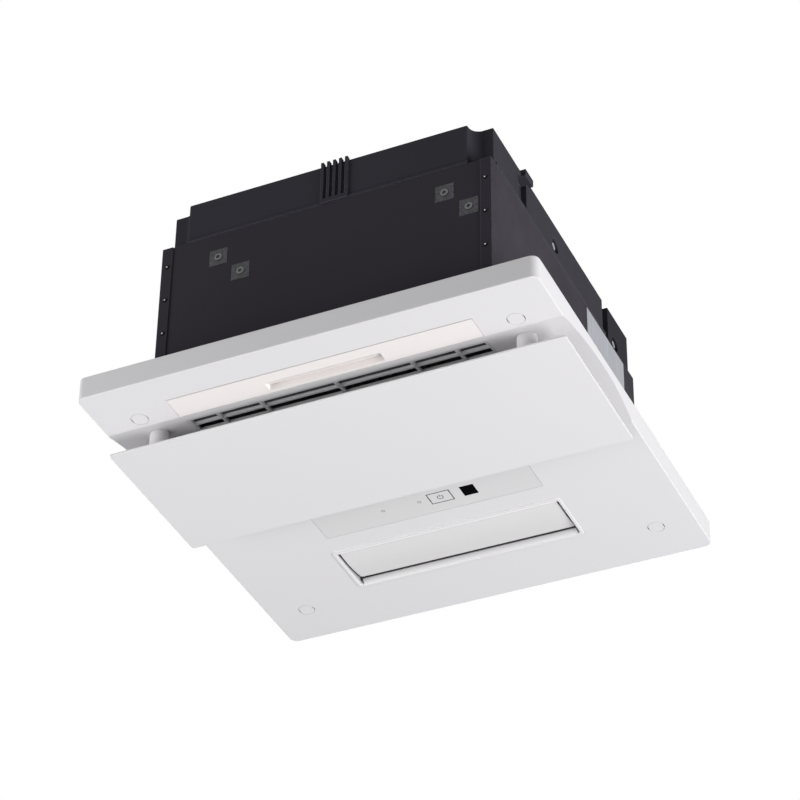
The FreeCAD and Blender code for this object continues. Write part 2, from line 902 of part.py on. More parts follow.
def opening(drawn, middle, width, depth):
    """A hole for a piece of the control strip, with the fit's gap round it."""
    half_width, half_depth = f"({width} / 2 + fit_gap)", f"({depth} / 2 + fit_gap)"
    low, high = f"button_back - {half_depth}", f"button_back + {half_depth}"
    rectangle(drawn, f"{middle} - {half_width}", low, f"{middle} + {half_width}", high)


def flanged_key(body, middle, width, depth):
    """A key that fills a hole of the control strip and hangs by its flange on the strip's lip."""
    for level, grow, height in (
        ("panel_base", "0", "panel_skin + lip_thick"),
        ("lip_top", "button_flange", "button_flange"),
    ):
        half_width, half_depth = f"({width} / 2 + {grow})", f"({depth} / 2 + {grow})"
        face = sketch(body, "XY_Plane", level)
        low, high = f"button_back - {half_depth}", f"button_back + {half_depth}"
        rectangle(face, f"{middle} - {half_width}", low, f"{middle} + {half_width}", high)
        pad(body, face, height)


def control_pieces():
    button = new_body("mode_button")
    flanged_key(button, "button_right", "button_width", "button_depth")
    stem = sketch(button, "XY_Plane", "lip_top + button_flange")
    circles(stem, [("button_right", "button_back")], "stem_radius")
    pad(button, stem, "stem_length")
    flanged_key(new_body("receiver_window"), "receiver_right", "receiver_width", "receiver_depth")
    lenses = []
    for x in ("lens_first", "lens_second"):
        foot = (x, "button_back", "panel_base")
        pipe = rod("lens_pipe", "Z", foot, "lens_radius", "board_base - panel_base")
        collar = rod("lens_collar", "Z", (x, "button_back", "lip_top"), "2 * lens_radius", "lip_thick")
        lenses.append(fuse("lens", pipe, collar))
    group("indicator_lenses", lenses)
    half_width, half_depth = "board_width / 2", "board_depth / 2"
    low = (f"-{half_width}", f"button_back - {half_depth}", "board_base")
    high = (half_width, f"button_back + {half_depth}", "board_base + board_thick")
    keep("display_board", block("display_board", low, high))
    side = "switch_side / 2"
    bottom = "lip_top + button_flange + stem_length + button_travel + fit_gap"
    low = (f"button_right - {side}", f"button_back - {side}", bottom)
    high = (f"button_right + {side}", f"button_back + {side}", "board_base")
    keep("button_switch", block("button_switch", low, high))


# Outlet frame: a raised rim round the mouth, a neck through the panel and a sloping far lip
def outlet_frame():
    body = new_body("outlet_frame")
    rim = sketch(body, "XY_Plane", "panel_base - rim_proud")
    rounded(rim, "-outlet_right", "outlet_near", "outlet_right", "outlet_far", "outlet_corner")
    mouth_corner = "(outlet_corner - rim_width + rim_lap)"
    rounded(rim, "-mouth_right", "mouth_near", "mouth_right", "mouth_far", mouth_corner)
    pad(body, rim, "rim_proud")
    fillet(body, "rim_proud / 2", level_edge("panel_base - rim_proud"))
    neck = sketch(body, "XY_Plane", "panel_base")
    edge = "(slot_right - fit_gap)"
    rectangle(neck, f"-{edge}", "slot_near + fit_gap", edge, "slot_far - fit_gap")
    rounded(neck, "-mouth_right", "mouth_near", "mouth_right", "mouth_far", mouth_corner)
    pad(body, neck, "neck_height")
    slope = sketch(body, "YZ_Plane")
    profile(
        slope,
        [
            ("mouth_far + rim_lap / 2", "panel_base"),
            ("mouth_far + rim_lap / 2", "panel_base + lip_rise"),
            ("mouth_far - lip_slope", "panel_base + lip_rise"),
            ("mouth_far", "panel_base"),
        ],
    )
    pad(body, slope, f"2 * (mouth_right - {mouth_corner})", "Symmetric")
    bearings = sketch(body, "YZ_Plane")
    circles(bearings, [("pivot_y", "pivot_z")], "pivot_radius + run_gap")
    pocket(body, bearings, "2 * outlet_width", "Symmetric")


# Louver: a bowed blade with a cheek and a pivot pin at each end
def outlet_louver():
    body = new_body("outlet_louver")
    low, high = "(panel_base + louver_set)", "(panel_base + louver_set + louver_lift)"
    blade = sketch(body, "YZ_Plane")
    profile(
        blade,
        [
            ("louver_near", low, "louver_bow", 1),
            ("louver_far", high),
            ("louver_far", f"{high} + louver_thick", "louver_bow", -1),
            ("louver_near", f"{low} + louver_thick"),
        ],
    )
    pad(body, blade, "2 * louver_right", "Symmetric")
    fillet(body, "louver_corner", upright_edge("louver_far"))
    for sign in (-1, 1):
        reverse = sign < 0
        inner = "(louver_right - cheek_thick)"
        foot = f"{low} + louver_thick / 2"
        cheek = sketch(body, "YZ_Plane", f"{sign} * {inner}")
        profile(
            cheek,
            [
                ("pivot_y - 2 * cheek_radius", foot),
                ("pivot_y + 2 * cheek_radius", foot),
                ("pivot_y + cheek_radius", "pivot_z", "cheek_radius", 1),
                ("pivot_y", "pivot_z + cheek_radius", "cheek_radius", 1),
                ("pivot_y - cheek_radius", "pivot_z"),
            ],
        )
        pad(body, cheek, "cheek_thick", reverse=reverse)
        pivot = sketch(body, "YZ_Plane", f"{sign} * {inner}")
        circles(pivot, [("pivot_y", "pivot_z")], "pivot_radius")
        pad(body, pivot, f"slot_right - 2 * fit_gap - {inner}", reverse=reverse)


def louver_motor():
    end = "slot_right - fit_gap"
    spot = (f"-({end}) - stepper_length", "pivot_y", "pivot_z + stepper_offset")
    keep("louver_motor", rod("louver_motor", "X", spot, "stepper_radius", "stepper_length"))


# Screws of the panel, their caps, and the flange on the ceiling that takes them
def panel_fixings():
    caps, screws = [], []
    head_base = "(panel_base + cap_depth - screw_head_height)"
    for x, y in CAP_SPOTS:
        round_cap = rod("round_cap", "Z", (x, y, "panel_base"), "cap_radius", "cap_thick")
        low, high = f"{y} - cap_radius", f"{y} + cap_radius"
        top = "panel_base + cap_thick"
        left = block("cap_left", (f"{x} - cap_radius", low, "panel_base"), (f"{x} - cap_flat", high, top))
        right = block("cap_right", (f"{x} + cap_flat", low, "panel_base"), (f"{x} + cap_radius", high, top))
        caps.append(cut("cap", round_cap, left, right))
        head = rod("head", "Z", (x, y, head_base), "screw_head", "screw_head_height")
        shank = rod("shank", "Z", (x, y, head_base), "screw_radius", f"flange_top - {head_base}")
        screws.append(fuse("screw", head, shank))
    group("screw_caps", caps)
    group("panel_screws", screws)
    body = new_body("mounting_flange")
    outline = sketch(body, "XY_Plane", "flange_base")
    reach = "(wall_right + flange_reach)"
    near, far = "housing_near - flange_near", "housing_far + flange_far"
    rounded(outline, f"-{reach}", near, reach, far, "panel_corner")
    rectangle(outline, "-wall_inner", "housing_near + sheet", "wall_inner", "housing_far - sheet")
    pad(body, outline, "flange_thick")
    holes = sketch(body, "XY_Plane", "flange_top")
    circles(holes, CAP_SPOTS, "screw_radius + run_gap")
    spots = [(f"{p}cap_right", f"{q}flange_pitch / 2") for p in ("-", "") for q in ("-", "")]
    circles(holes, spots, "flange_hole")
    pocket(body, holes, "flange_thick")


# Housing: two folded side walls, near and far plates and a deck
def side_wall(label, sign):
    body = new_body(label)
    section = sketch(body, "XY_Plane", "flange_top")
    near, far = "(housing_near - sheet)", "(housing_far + sheet)"
    corners = [
        ("wall_right", near),
        ("wall_right", far),
        ("wall_right - fold", far),
        ("wall_right - fold", "housing_far"),
        ("wall_inner", "housing_far"),
        ("wall_inner", "housing_near"),
        ("wall_right - fold", "housing_near"),
        ("wall_right - fold", near),
    ]
    profile(section, [(f"{sign} * ({x})", y) for x, y in corners])
    pad(body, section, "deck_top - flange_top")


def housing():
    side_wall("left_wall", -1)
    side_wall("right_wall", 1)
    low = ("-plate_right", "housing_near", "flange_top")
    high = ("plate_right", "housing_near + sheet", "deck_top")
    keep("near_plate", block("near_plate", low, high))
    low = ("-plate_right", "housing_far - sheet", "flange_top")
    high = ("plate_right", "housing_far", "deck_top")
    hole = rod("far_hole", "Y", ("0", "housing_far - 2 * sheet", "duct_rise"), "duct_bore", "3 * sheet")
    tools = [hole]
    for x, z in DUCT_SPOTS:
        spot = (x, "housing_far - 2 * sheet", z)
        tools.append(rod("duct_screw_hole", "Y", spot, "screw_radius + run_gap", "3 * sheet"))
    keep("far_plate", cut("far_plate", block("far_sheet", low, high), *tools))
    low = ("-plate_right", "chamber_near", "deck_top - sheet")
    high = ("plate_right", "chamber_far", "deck_top")
    hole = rod("deck_pass", "Z", ("0", "fan_y", "deck_top - 2 * sheet"), "deck_hole", "3 * sheet")
    keep("deck_plate", cut("deck_plate", block("deck_sheet", low, high), hole))
    rivets = []
    for x in ("wall_right - rivet_inset", "-(wall_right - rivet_inset)"):
        for y in ("housing_near - sheet - rivet_height", "housing_far + sheet"):
            for i in range(3):
                spot = (x, y, f"rivet_low + {i} * rivet_pitch")
                rivets.append(rod("rivet", "Y", spot, "rivet_radius", "rivet_height"))
    group("wall_rivets", rivets)
    start, top = "(housing_near + label_start * stretch)", "(deck_top - label_top)"
    low = ("wall_right", start, f"{top} - label_height")
    high = ("wall_right + label_thick", f"{start} + label_length * stretch", top)
    keep("side_plate", block("side_plate", low, high))


# Square patches on the near plate, each with a bush on it
def patches():
    squares, bushes = [], []
    face = "housing_near - patch_thick"
    half = "patch_side / 2"
    for pair in range(2):
        for step in range(2):
            x = f"(patch_left + {pair} * patch_pair + {step} * patch_step)"
            z = f"(patch_top - {step} * patch_step)"
            low = (f"{x} - {half}", face, f"{z} - {half}")
            high = (f"{x} + {half}", "housing_near", f"{z} + {half}")
            squares.append(block("patch", low, high))
            outer = rod("bush_outer", "Y", (x, f"{face} - bush_height", z), "bush_radius", "bush_height")
            bore = rod("bush_hole", "Y", (x, f"{face} - bush_height", z), "bush_bore", "bush_height")
            bushes.append(cut("bush", outer, bore))
    group("hole_patches", squares)
    group("fixing_bushes", bushes)


def side_screws(body, y, rise, signs):
    """Round pockets, each with an inner boss and a screw, in the sides of a moulded shell."""
    spot = (y, f"deck_top + {rise}")
    heads = []
    for sign in signs:
        inward = sign > 0
        boss = sketch(body, "YZ_Plane", f"{sign} * (lid_right - lid_wall / 2)")
        circles(boss, [spot], "side_boss")
        pad(body, boss, "side_pocket_depth + lid_wall / 2", reverse=inward)
        sink = sketch(body, "YZ_Plane", f"{sign} * lid_right")
        circles(sink, [spot], "side_pocket")
        pocket(body, sink, "side_pocket_depth", reverse=not inward)
        seat = "(lid_right - side_pocket_depth)"
        start = seat if inward else f"-{seat} - side_head_height"
        heads.append(rod("side_head", "X", (start, *spot), "side_head", "side_head_height"))
    return heads


def hollow_box(body, x_low, y_low, x_high, y_high):
    """A moulded box that stands open side down on the deck."""
    outline = sketch(body, "XY_Plane", "deck_top")
    rectangle(outline, x_low, y_low, x_high, y_high)
    pad(body, outline, "box_height")
    fillet(body, "lid_edge", level_edge("box_top"))
    hollow = sketch(body, "XY_Plane", "deck_top")
    low = (f"{x_low} + lid_wall", f"{y_low} + lid_wall")
    high = (f"{x_high} - lid_wall", f"{y_high} - lid_wall")
    rectangle(hollow, *low, *high)
    pocket(body, hollow, "box_height - lid_wall", reverse=True)


# Lid: a moulded shell with a nose between coved corners, a ribbed front, a relief and a hook
def lid_cover():
    body = new_body("lid_cover")
    outline = sketch(body, "XY_Plane", "deck_top")
    shoulder = "(lid_near + nose_step)"
    right = [
        ("nose_right - lid_edge", "lid_near", "lid_edge", 1),
        ("nose_right", "lid_near + lid_edge"),
        ("nose_right", f"{shoulder} - cove", "cove", -1),
        ("nose_right + cove", shoulder),
        ("lid_right", shoulder),
        ("lid_right", "lid_far"),
    ]
    left = [
        ("-lid_right", "lid_far"),
        ("-lid_right", shoulder),
        ("-nose_right - cove", shoulder, "cove", -1),
        ("-nose_right", f"{shoulder} - cove"),
        ("-nose_right", "lid_near + lid_edge", "lid_edge", 1),
        ("lid_edge - nose_right", "lid_near"),
    ]
    profile(outline, right + left)
    pad(body, outline, "lid_height")
    fillet(body, "lid_edge", level_edge("lid_top"))
    hollow = sketch(body, "XY_Plane", "deck_top")
    inner, nose = "(lid_right - lid_wall)", "(nose_right - lid_wall)"
    turn = f"({shoulder} + lid_wall)"
    profile(
        hollow,
        [
            (nose, "lid_near + lid_wall"),
            (nose, turn),
            (inner, turn),
            (inner, "lid_far - lid_wall"),
            (f"-{inner}", "lid_far - lid_wall"),
            (f"-{inner}", turn),
            (f"-{nose}", turn),
            (f"-{nose}", "lid_near + lid_wall"),
        ],
    )
    pocket(body, hollow, "lid_height - lid_wall", reverse=True)
    # A skirt round the lid's foot leaves a dark seam above the housing's edge
    skirt = sketch(body, "XY_Plane", "skirt_base")
    half, edge = "lid_wall / 2", "(wall_right - skirt_clear)"
    rectangle(skirt, "-nose_right", "housing_near + skirt_clear", "nose_right", f"lid_near + {half}")
    rectangle(skirt, f"lid_right - {half}", shoulder, edge, "lid_far")
    rectangle(skirt, f"-{edge}", shoulder, f"{half} - lid_right", "lid_far")
    pad(body, skirt, "skirt_height")
    foot = sketch(body, "XY_Plane", "skirt_base")
    front = "(lid_near - lid_rib_proud)"
    span = "((lid_ribs - 1) * lid_rib_pitch + lid_rib_width)"
    rectangle(foot, "lid_rib_first", front, f"lid_rib_first + {span}", "lid_near + lid_wall / 2")
    pad(body, foot, "lid_rib_foot")
    rib = sketch(body, "XY_Plane", "skirt_base + lid_rib_foot / 2")
    rectangle(rib, "lid_rib_first", front, "lid_rib_first + lid_rib_width", "lid_near + lid_wall")
    first = pad(body, rib, "lid_height + lid_rib_over - skirt_gap - lid_rib_foot / 2")
    repeat(body, first, "X_Axis", "lid_rib_pitch", "lid_ribs")
    # A relief in the right side, with its own inner walls, and a hook that stands out above it
    near = "(lid_near + relief_start * stretch)"
    far = f"({near} + relief_width)"
    head = "(lid_top - hook_height)"
    backing = sketch(body, "YZ_Plane", f"lid_right - {half}")
    rectangle(backing, f"{near} - lid_wall", "skirt_base", f"{far} + lid_wall", f"{head} + lid_wall")
    pad(body, backing, f"relief_depth + {half}", reverse=True)
    relief = sketch(body, "YZ_Plane", "lid_right")
    rectangle(relief, near, "skirt_top", far, head)
    pocket(body, relief, "relief_depth")
    hook = sketch(body, "YZ_Plane", f"lid_right - {half}")
    start = "(lid_near + hook_start * stretch)"
    rectangle(hook, start, head, f"{start} + hook_length", "lid_top")
    pad(body, hook, f"hook_thick + {half}")
    return side_screws(body, "lid_near + side_screw * stretch", "side_screw_rise", (-1, 1))


# Control box: a second moulding beside the lid, with the mains cable's gland
def control_box():
    body = new_body("control_box")
    hollow_box(body, "box_left", "box_near", "lid_right", "box_far")
    screws = side_screws(body, "box_near + box_screw * stretch", "box_screw_rise", (1,))
    gland_spot = ("lid_right - gland_inset", "deck_top + gland_rise")
    hole = sketch(body, "XZ_Plane", "-box_far")
    circles(hole, [gland_spot], "gland_bore + gland_nut / 2 + fit_gap")
    pocket(body, hole, "lid_wall", reverse=True)
    gland = new_body("cable_gland")
    nut = sketch(gland, "XZ_Plane", "-box_far")
    circles(nut, [gland_spot], "gland_radius")
    pad(gland, nut, "gland_nut", reverse=True)
    sleeve = sketch(gland, "XZ_Plane", "lid_wall - box_far")
    circles(sleeve, [gland_spot], "gland_bore + gland_nut / 2")
    pad(gland, sleeve, "gland_length", reverse=True)
    bore = sketch(gland, "XZ_Plane", "-box_far - gland_length")
    circles(bore, [gland_spot], "gland_bore")
    pocket(gland, bore, "2 * gland_length", reverse=True)
    return screws


# Electrics in the control box: a board on standoffs and a row of terminals on it
def electrics():
    x_low = "(box_left + 2 * lid_wall)"
    middle = "((box_near + box_far) / 2)"
    y_low, y_high = f"({middle} - main_board_depth / 2)", f"({middle} + main_board_depth / 2)"
    low = (x_low, y_low, "main_board_base")
    high = (f"{x_low} + main_board_width", y_high, "main_board_base + board_thick")
    keep("control_board", block("control_board", low, high))
    inset = "2 * standoff_radius"
    standoffs = []
    for x in (f"{x_low} + {inset}", f"{x_low} + main_board_width - {inset}"):
        for y in (f"{y_low} + {inset}", f"{y_high} - {inset}"):
            standoffs.append(rod("standoff", "Z", (x, y, "deck_top"), "standoff_radius", "main_board_rise"))
    group("board_standoffs", standoffs)
    body = new_body("terminal_block")
    base = "main_board_base + board_thick"
    left = f"({x_low} + main_board_width - 4 * standoff_radius - terminal_ways * terminal_pitch)"
    near = f"({middle} - terminal_depth / 2)"
    outline = sketch(body, "XY_Plane", base)
    rectangle(outline, left, near, f"{left} + terminal_ways * terminal_pitch", f"{near} + terminal_depth")
    pad(body, outline, "terminal_height")
    hole = sketch(body, "XY_Plane", f"{base} + terminal_height")
    circles(hole, [(f"{left} + terminal_pitch / 2", middle)], "terminal_hole")
    first = pocket(body, hole, "terminal_height - terminal_wall")
    repeat(body, first, "X_Axis", "terminal_pitch", "terminal_ways")


def turned(body, corners):
    """A solid of revolution about the body's own Z axis, from corners given as radius and height."""
    section = sketch(body, "XZ_Plane")
    profile(section, corners)
    made = body.newObject("PartDesign::Revolution", f"{body.Name}_turned")
    made.Profile = section
    made.ReferenceAxis = ([item for item in body.Origin.OriginFeatures if item.Role == "Z_Axis"][0], [""])
    made.Angle = 360
    return made


def around(body, source, count):
    """Copies of a feature all round the body's own Z axis."""
    doc.recompute()
    made = body.newObject("PartDesign::PolarPattern", f"{body.Name}_round")
    made.Originals = [source]
    made.Axis = ([item for item in body.Origin.OriginFeatures if item.Role == "Z_Axis"][0], [""])
    made.Angle = 360
    tie(made, Occurrences=count)
    body.Tip = made
    return made


def on_fan(body):
    """Puts a body's own Z axis on the fan's."""
    tie(body, Placement__Base__y="fan_y")


def motor_spots():
    """The three screws of the motor's flange, seen from the fan's axis."""
    return [
        (f"motor_screw_circle * cos({turn})", f"motor_screw_circle * sin({turn})") for turn in (30, 150, 270)
    ]


# Fan chamber: a floor with a bell-mouthed inlet, a spiral wall and a top plate
def fan_chamber():
    far = "partition_near - plate_gap"
    low, high = ("-plate_right", "chamber_near", "floor_rise"), ("plate_right", far, "floor_top")
    hole = rod("inlet_hole", "Z", ("0", "fan_y", "floor_rise"), "inlet_radius + inlet_height", "floor_thick")
    keep("fan_floor", cut("fan_floor", block("floor_sheet", low, high), hole))
    ring = new_body("inlet_ring")
    on_fan(ring)
    bevel = "(inlet_bevel + inlet_wall * sin(45))"
    turned(
        ring,
        [
            ("inlet_radius", "floor_top + inlet_height"),
            ("inlet_radius + inlet_bevel", "floor_top + inlet_bevel"),
            ("inlet_radius + inlet_height", "floor_top"),
            ("inlet_radius + inlet_flare", "floor_top"),
            ("inlet_radius + inlet_flare", "floor_top + inlet_wall"),
            ("inlet_radius + inlet_height", "floor_top + inlet_wall"),
            (f"inlet_radius + {bevel}", f"floor_top + {bevel}"),
            ("inlet_radius + inlet_wall", "floor_top + inlet_height"),
        ],
    )
    scroll = new_body("scroll_wall")
    on_fan(scroll)
    plan = sketch(scroll, "XY_Plane", "floor_top")
    end = f"({far} - fan_y)"
    first, second, third = (f"(scroll_radius + {i} * scroll_growth)" for i in range(3))
    left_x = "(tongue_x - scroll_wall)"
    profile(
        plan,
        [
            ("tongue_x", end),
            ("tongue_x", "scroll_radius * sin(tongue_turn)", first, 1),
            (f"-{first}", "0", second, 1),
            ("scroll_growth", f"-{second}", third, 1),
            ("outlet_x", "scroll_growth"),
            ("outlet_x", end),
            ("outlet_x + scroll_wall", end),
            ("outlet_x + scroll_wall", "scroll_growth", f"{third} + scroll_wall", -1),
            ("scroll_growth", f"-{second} - scroll_wall", f"{second} + scroll_wall", -1),
            (f"-{first} - scroll_wall", "0", f"{first} + scroll_wall", -1),
            (left_x, f"sqrt(({first} + scroll_wall)^2 - {left_x}^2)"),
            (left_x, end),
        ],
    )
    pad(scroll, plan, "scroll_height")
    low, high = ("-plate_right", "chamber_near", "scroll_top_base"), ("plate_right", far, "motor_base")
    tools = [rod("motor_pass", "Z", ("0", "fan_y", "scroll_top_base"), "motor_pass", "floor_thick")]
    for x, y in motor_spots():
        spot = (x, f"fan_y + {y}", "scroll_top_base")
        tools.append(rod("motor_screw_hole", "Z", spot, "screw_radius + run_gap", "floor_thick"))
    keep("scroll_top", cut("scroll_top", block("top_sheet", low, high), *tools))
    low = ("tongue_x", "partition_near", "floor_top")
    high = ("outlet_x", "partition_far", "scroll_top_base")
    mouth = block("fan_mouth", low, high)
    low = ("-plate_right", "partition_near", "flange_top")
    high = ("plate_right", "partition_far", "deck_base")
    keep("partition_plate", cut("partition_plate", block("partition_sheet", low, high), mouth))


# Impeller: a dished back with a hub, forward-curved blades round its edge and a ring below them
def impeller():
    body = new_body("impeller")
    on_fan(body)
    hub_low = "(impeller_top - dish_depth - hub_height)"
    turned(
        body,
        [
            ("shaft_radius", hub_low),
            ("hub_radius", hub_low),
            ("hub_radius", "impeller_top - dish_depth - back_thick"),
            ("dish_radius", "impeller_top - back_thick"),
            ("impeller_radius", "impeller_top - back_thick"),
            ("impeller_radius", "impeller_top"),
            ("dish_radius", "impeller_top"),
            ("hub_radius", "impeller_top - dish_depth"),
            ("shaft_radius", "impeller_top - dish_depth"),
        ],
    )
    outline = sketch(body, "XY_Plane", "impeller_base")
    tip = "(impeller_radius - blade_thick / 2)"
    spread = f"(blade_lead + blade_thick / {tip} * 180 / pi)"
    profile(
        outline,
        [
            ("blade_inner", "0", "blade_curve", 1),
            (f"{tip} * cos(blade_lead)", f"{tip} * sin(blade_lead)"),
            (f"{tip} * cos({spread})", f"{tip} * sin({spread})", "blade_curve", -1),
            ("blade_inner", "blade_thick"),
        ],
    )
    blade = pad(body, outline, "impeller_top - back_thick / 2 - impeller_base")
    around(body, blade, "blade_count")
    ring = sketch(body, "XY_Plane", "impeller_base")
    circles(ring, [("0", "0")], "impeller_radius")
    circles(ring, [("0", "0")], "impeller_radius - ring_wall")
    pad(body, ring, "ring_height")
    length = f"motor_base + shaft_tail - {hub_low}"
    keep("motor_shaft", rod("motor_shaft", "Z", ("0", "fan_y", hub_low), "shaft_radius", length))


# Fan motor: a flanged can on the chamber's top plate, with a bore for the shaft
def fan_motor():
    body = new_body("fan_motor")
    on_fan(body)
    top, flange = "(motor_base + motor_height)", "(motor_base + motor_flange_thick)"
    bore, end = "(shaft_radius + run_gap)", "(motor_base + shaft_tail + fit_gap)"
    turned(
        body,
        [
            (bore, "motor_base"),
            ("motor_flange", "motor_base"),
            ("motor_flange", flange),
            ("motor_radius", flange),
            ("motor_radius", f"{top} - motor_bevel"),
            ("motor_radius - motor_bevel", top),
            ("0", top),
            ("0", end),
            (bore, end),
        ],
    )
    holes = sketch(body, "XY_Plane", flange)
    circles(holes, motor_spots(), "screw_radius + fit_gap")
    pocket(body, holes, "motor_flange_thick")
    screws = []
    for x, y in motor_spots():
        spot = (x, f"fan_y + {y}")
        head = rod("motor_head", "Z", (*spot, flange), "screw_head", "screw_head_height")
        length = f"{flange} - scroll_top_base"
        shank = rod("motor_shank", "Z", (*spot, "scroll_top_base"), "screw_radius", length)
        screws.append(fuse("motor_screw", head, shank))
    group("motor_screws", screws)


def loft(body, kind, lower, upper):
    """A loft between two rectangles, each given as half width, near side, far side and height."""
    sections = []
    for half, near, far, level in (lower, upper):
        section = sketch(body, "XY_Plane", level)
        rectangle(section, f"-({half})", near, half, far)
        sections.append(section)
    made = body.newObject(f"PartDesign::{kind}Loft", f"{body.Name}_loft")
    made.Profile = sections[0]
    made.Sections = sections[1:]
    return made


# Heater: a flared duct on the outlet's neck, and a framed core of finned bars on the duct
def heater():
    duct = new_body("outlet_duct")
    half, near, far = "slot_right - 2 * fit_gap", "slot_near + 2 * fit_gap", "slot_far - 2 * fit_gap"
    loft(duct, "Additive", (half, near, far, "neck_top"), (half, "chute_near", "chute_far", "chute_top"))
    inner, wall = f"({half} - chute_wall)", "chute_wall"
    doc.recompute()
    solid = duct.Shape.Volume
    loft(
        duct,
        "Subtractive",
        (inner, f"{near} + {wall}", f"{far} - {wall}", "neck_top"),
        (inner, f"chute_near + {wall}", f"chute_far - {wall}", "chute_top"),
    )
    doc.recompute()
    if not duct.Shape.Volume < solid:
        raise RuntimeError("the outlet duct is not hollow")
    y_low, y_high = f"(chute_near + {wall})", f"(chute_far - {wall})"
    outer = block(
        "heater_block",
        (f"-({inner} + heater_bar)", f"{y_low} - heater_bar", "chute_top"),
        (f"{inner} + heater_bar", f"{y_high} + heater_bar", "heater_top"),
    )
    mouth = block("heater_mouth", (f"-{inner}", y_low, "chute_top"), (inner, y_high, "heater_top"))
    keep("heater_frame", cut("heater_frame", outer, mouth))
    core = new_body("heater_core")
    base, height = "(chute_top + fin_set)", "heater_height - 2 * fin_set"
    fin = sketch(core, "XY_Plane", base)
    pitch = f"(2 * {inner} / (fin_count + 1))"
    left = f"(-{inner} + {pitch} - fin_thick / 2)"
    rectangle(fin, left, f"{y_low} + fit_gap", f"{left} + fin_thick", f"{y_high} - fit_gap")
    first_fin = pad(core, fin, height)
    bar = sketch(core, "XY_Plane", base)
    bar_pitch = f"(({y_high} - {y_low}) / (ptc_rows + 1))"
    bar_near = f"({y_low} + {bar_pitch} - ptc_thick / 2)"
    rectangle(bar, f"-{inner}", bar_near, inner, f"{bar_near} + ptc_thick")
    first_bar = pad(core, bar, height)
    repeat(core, first_bar, "Y_Axis", bar_pitch, "ptc_rows")
    repeat(core, first_fin, "X_Axis", pitch, "fin_count")
    spot = ("cutout_right", "partition_far", "cutout_rise")
    keep("thermal_cutout", rod("thermal_cutout", "Y", spot, "cutout_radius", "cutout_height"))


# Damper: a flap on a shaft that sends the air to the duct or down through the heater
def damper():
    body = new_body("damper_flap")
    sleeve = sketch(body, "YZ_Plane")
    circles(sleeve, [("damper_y", "damper_rise")], "damper_sleeve")
    pad(body, sleeve, "damper_width", "Symmetric")
    plate = sketch(body, "YZ_Plane")
    near, far = "(damper_y - damper_thick / 2)", "(damper_y + damper_thick / 2)"
    top = "(damper_rise + damper_length)"
    profile(
        plate,
        [
            (far, "damper_rise"),
            (far, top),
            (f"{far} - damper_hem", top),
            (f"{far} - damper_hem", f"{top} - damper_thick"),
            (near, f"{top} - damper_thick"),
            (near, "damper_rise"),
        ],
    )
    pad(body, plate, "damper_width", "Symmetric")
    bore = sketch(body, "YZ_Plane")
    circles(bore, [("damper_y", "damper_rise")], "damper_shaft")
    pocket(body, bore, "2 * damper_width", "Symmetric")
    spot = ("-bearing_far", "damper_y", "damper_rise")
    keep("damper_shaft", rod("damper_shaft", "X", spot, "damper_shaft", "2 * bearing_far"))
    bearings = []
    for x in ("bearing_near", "-bearing_far"):
        low = (x, "damper_y - bearing_side / 2", "damper_rise - bearing_side / 2")
        high = (f"{x} + bearing_width", "housing_far - sheet", "damper_rise + bearing_side / 2")
        spot = (x, "damper_y", "damper_rise")
        hole = rod("bearing_hole", "X", spot, "damper_shaft + run_gap", "bearing_width")
        bearings.append(cut("damper_bearing", block("bearing_block", low, high), hole))
    group("damper_bearings", bearings)
    spot = ("-wall_inner", "chamber_far - damper_motor", "damper_rise")
    length = "wall_inner - bearing_far - fit_gap"
    keep("damper_motor", rod("damper_motor", "X", spot, "damper_motor", length))


DUCT_SPOTS = [
    (f"{p}duct_screw_pitch / 2", f"duct_rise {q} duct_screw_pitch / 2") for p in ("-", "") for q in "-+"
]


# Duct adaptor: a plate on the far side with a round spigot, and a stop inside it for the flap
def duct_adaptor():
    body = new_body("duct_adaptor")
    plate = sketch(body, "XZ_Plane", "-housing_far")
    half = "(duct_plate / 2)"
    rounded(plate, f"-{half}", f"duct_rise - {half}", half, f"duct_rise + {half}", "duct_plate_corner")
    circles(plate, [("0", "duct_rise")], "duct_bore")
    circles(plate, DUCT_SPOTS, "screw_radius + fit_gap")
    pad(body, plate, "duct_plate_thick", reverse=True)
    spigot = sketch(body, "XZ_Plane", "-adaptor_near")
    for radius in ("duct_radius", "duct_bore"):
        circles(spigot, [("0", "duct_rise")], radius)
    pad(body, spigot, "duct_length", reverse=True)
    stop = sketch(body, "XZ_Plane", "-adaptor_near - stop_start")
    for radius in ("duct_bore + duct_wall / 2", "duct_bore - stop_width"):
        circles(stop, [("0", "duct_rise")], radius)
    pad(body, stop, "stop_thick", reverse=True)
    pins = sketch(body, "YZ_Plane")
    circles(pins, [("flap_y", "flap_z")], "flap_pin + run_gap")
    pocket(body, pins, "2 * duct_radius", "Symmetric")
    screws = []
    for x, z in DUCT_SPOTS:
        head = rod("duct_head", "Y", (x, "adaptor_near", z), "screw_head", "screw_head_height")
        length = "adaptor_near - housing_far + sheet"
        shank = rod("duct_shank", "Y", (x, "housing_far - sheet", z), "screw_radius", length)
        screws.append(fuse("duct_screw", head, shank))
    group("duct_screws", screws)


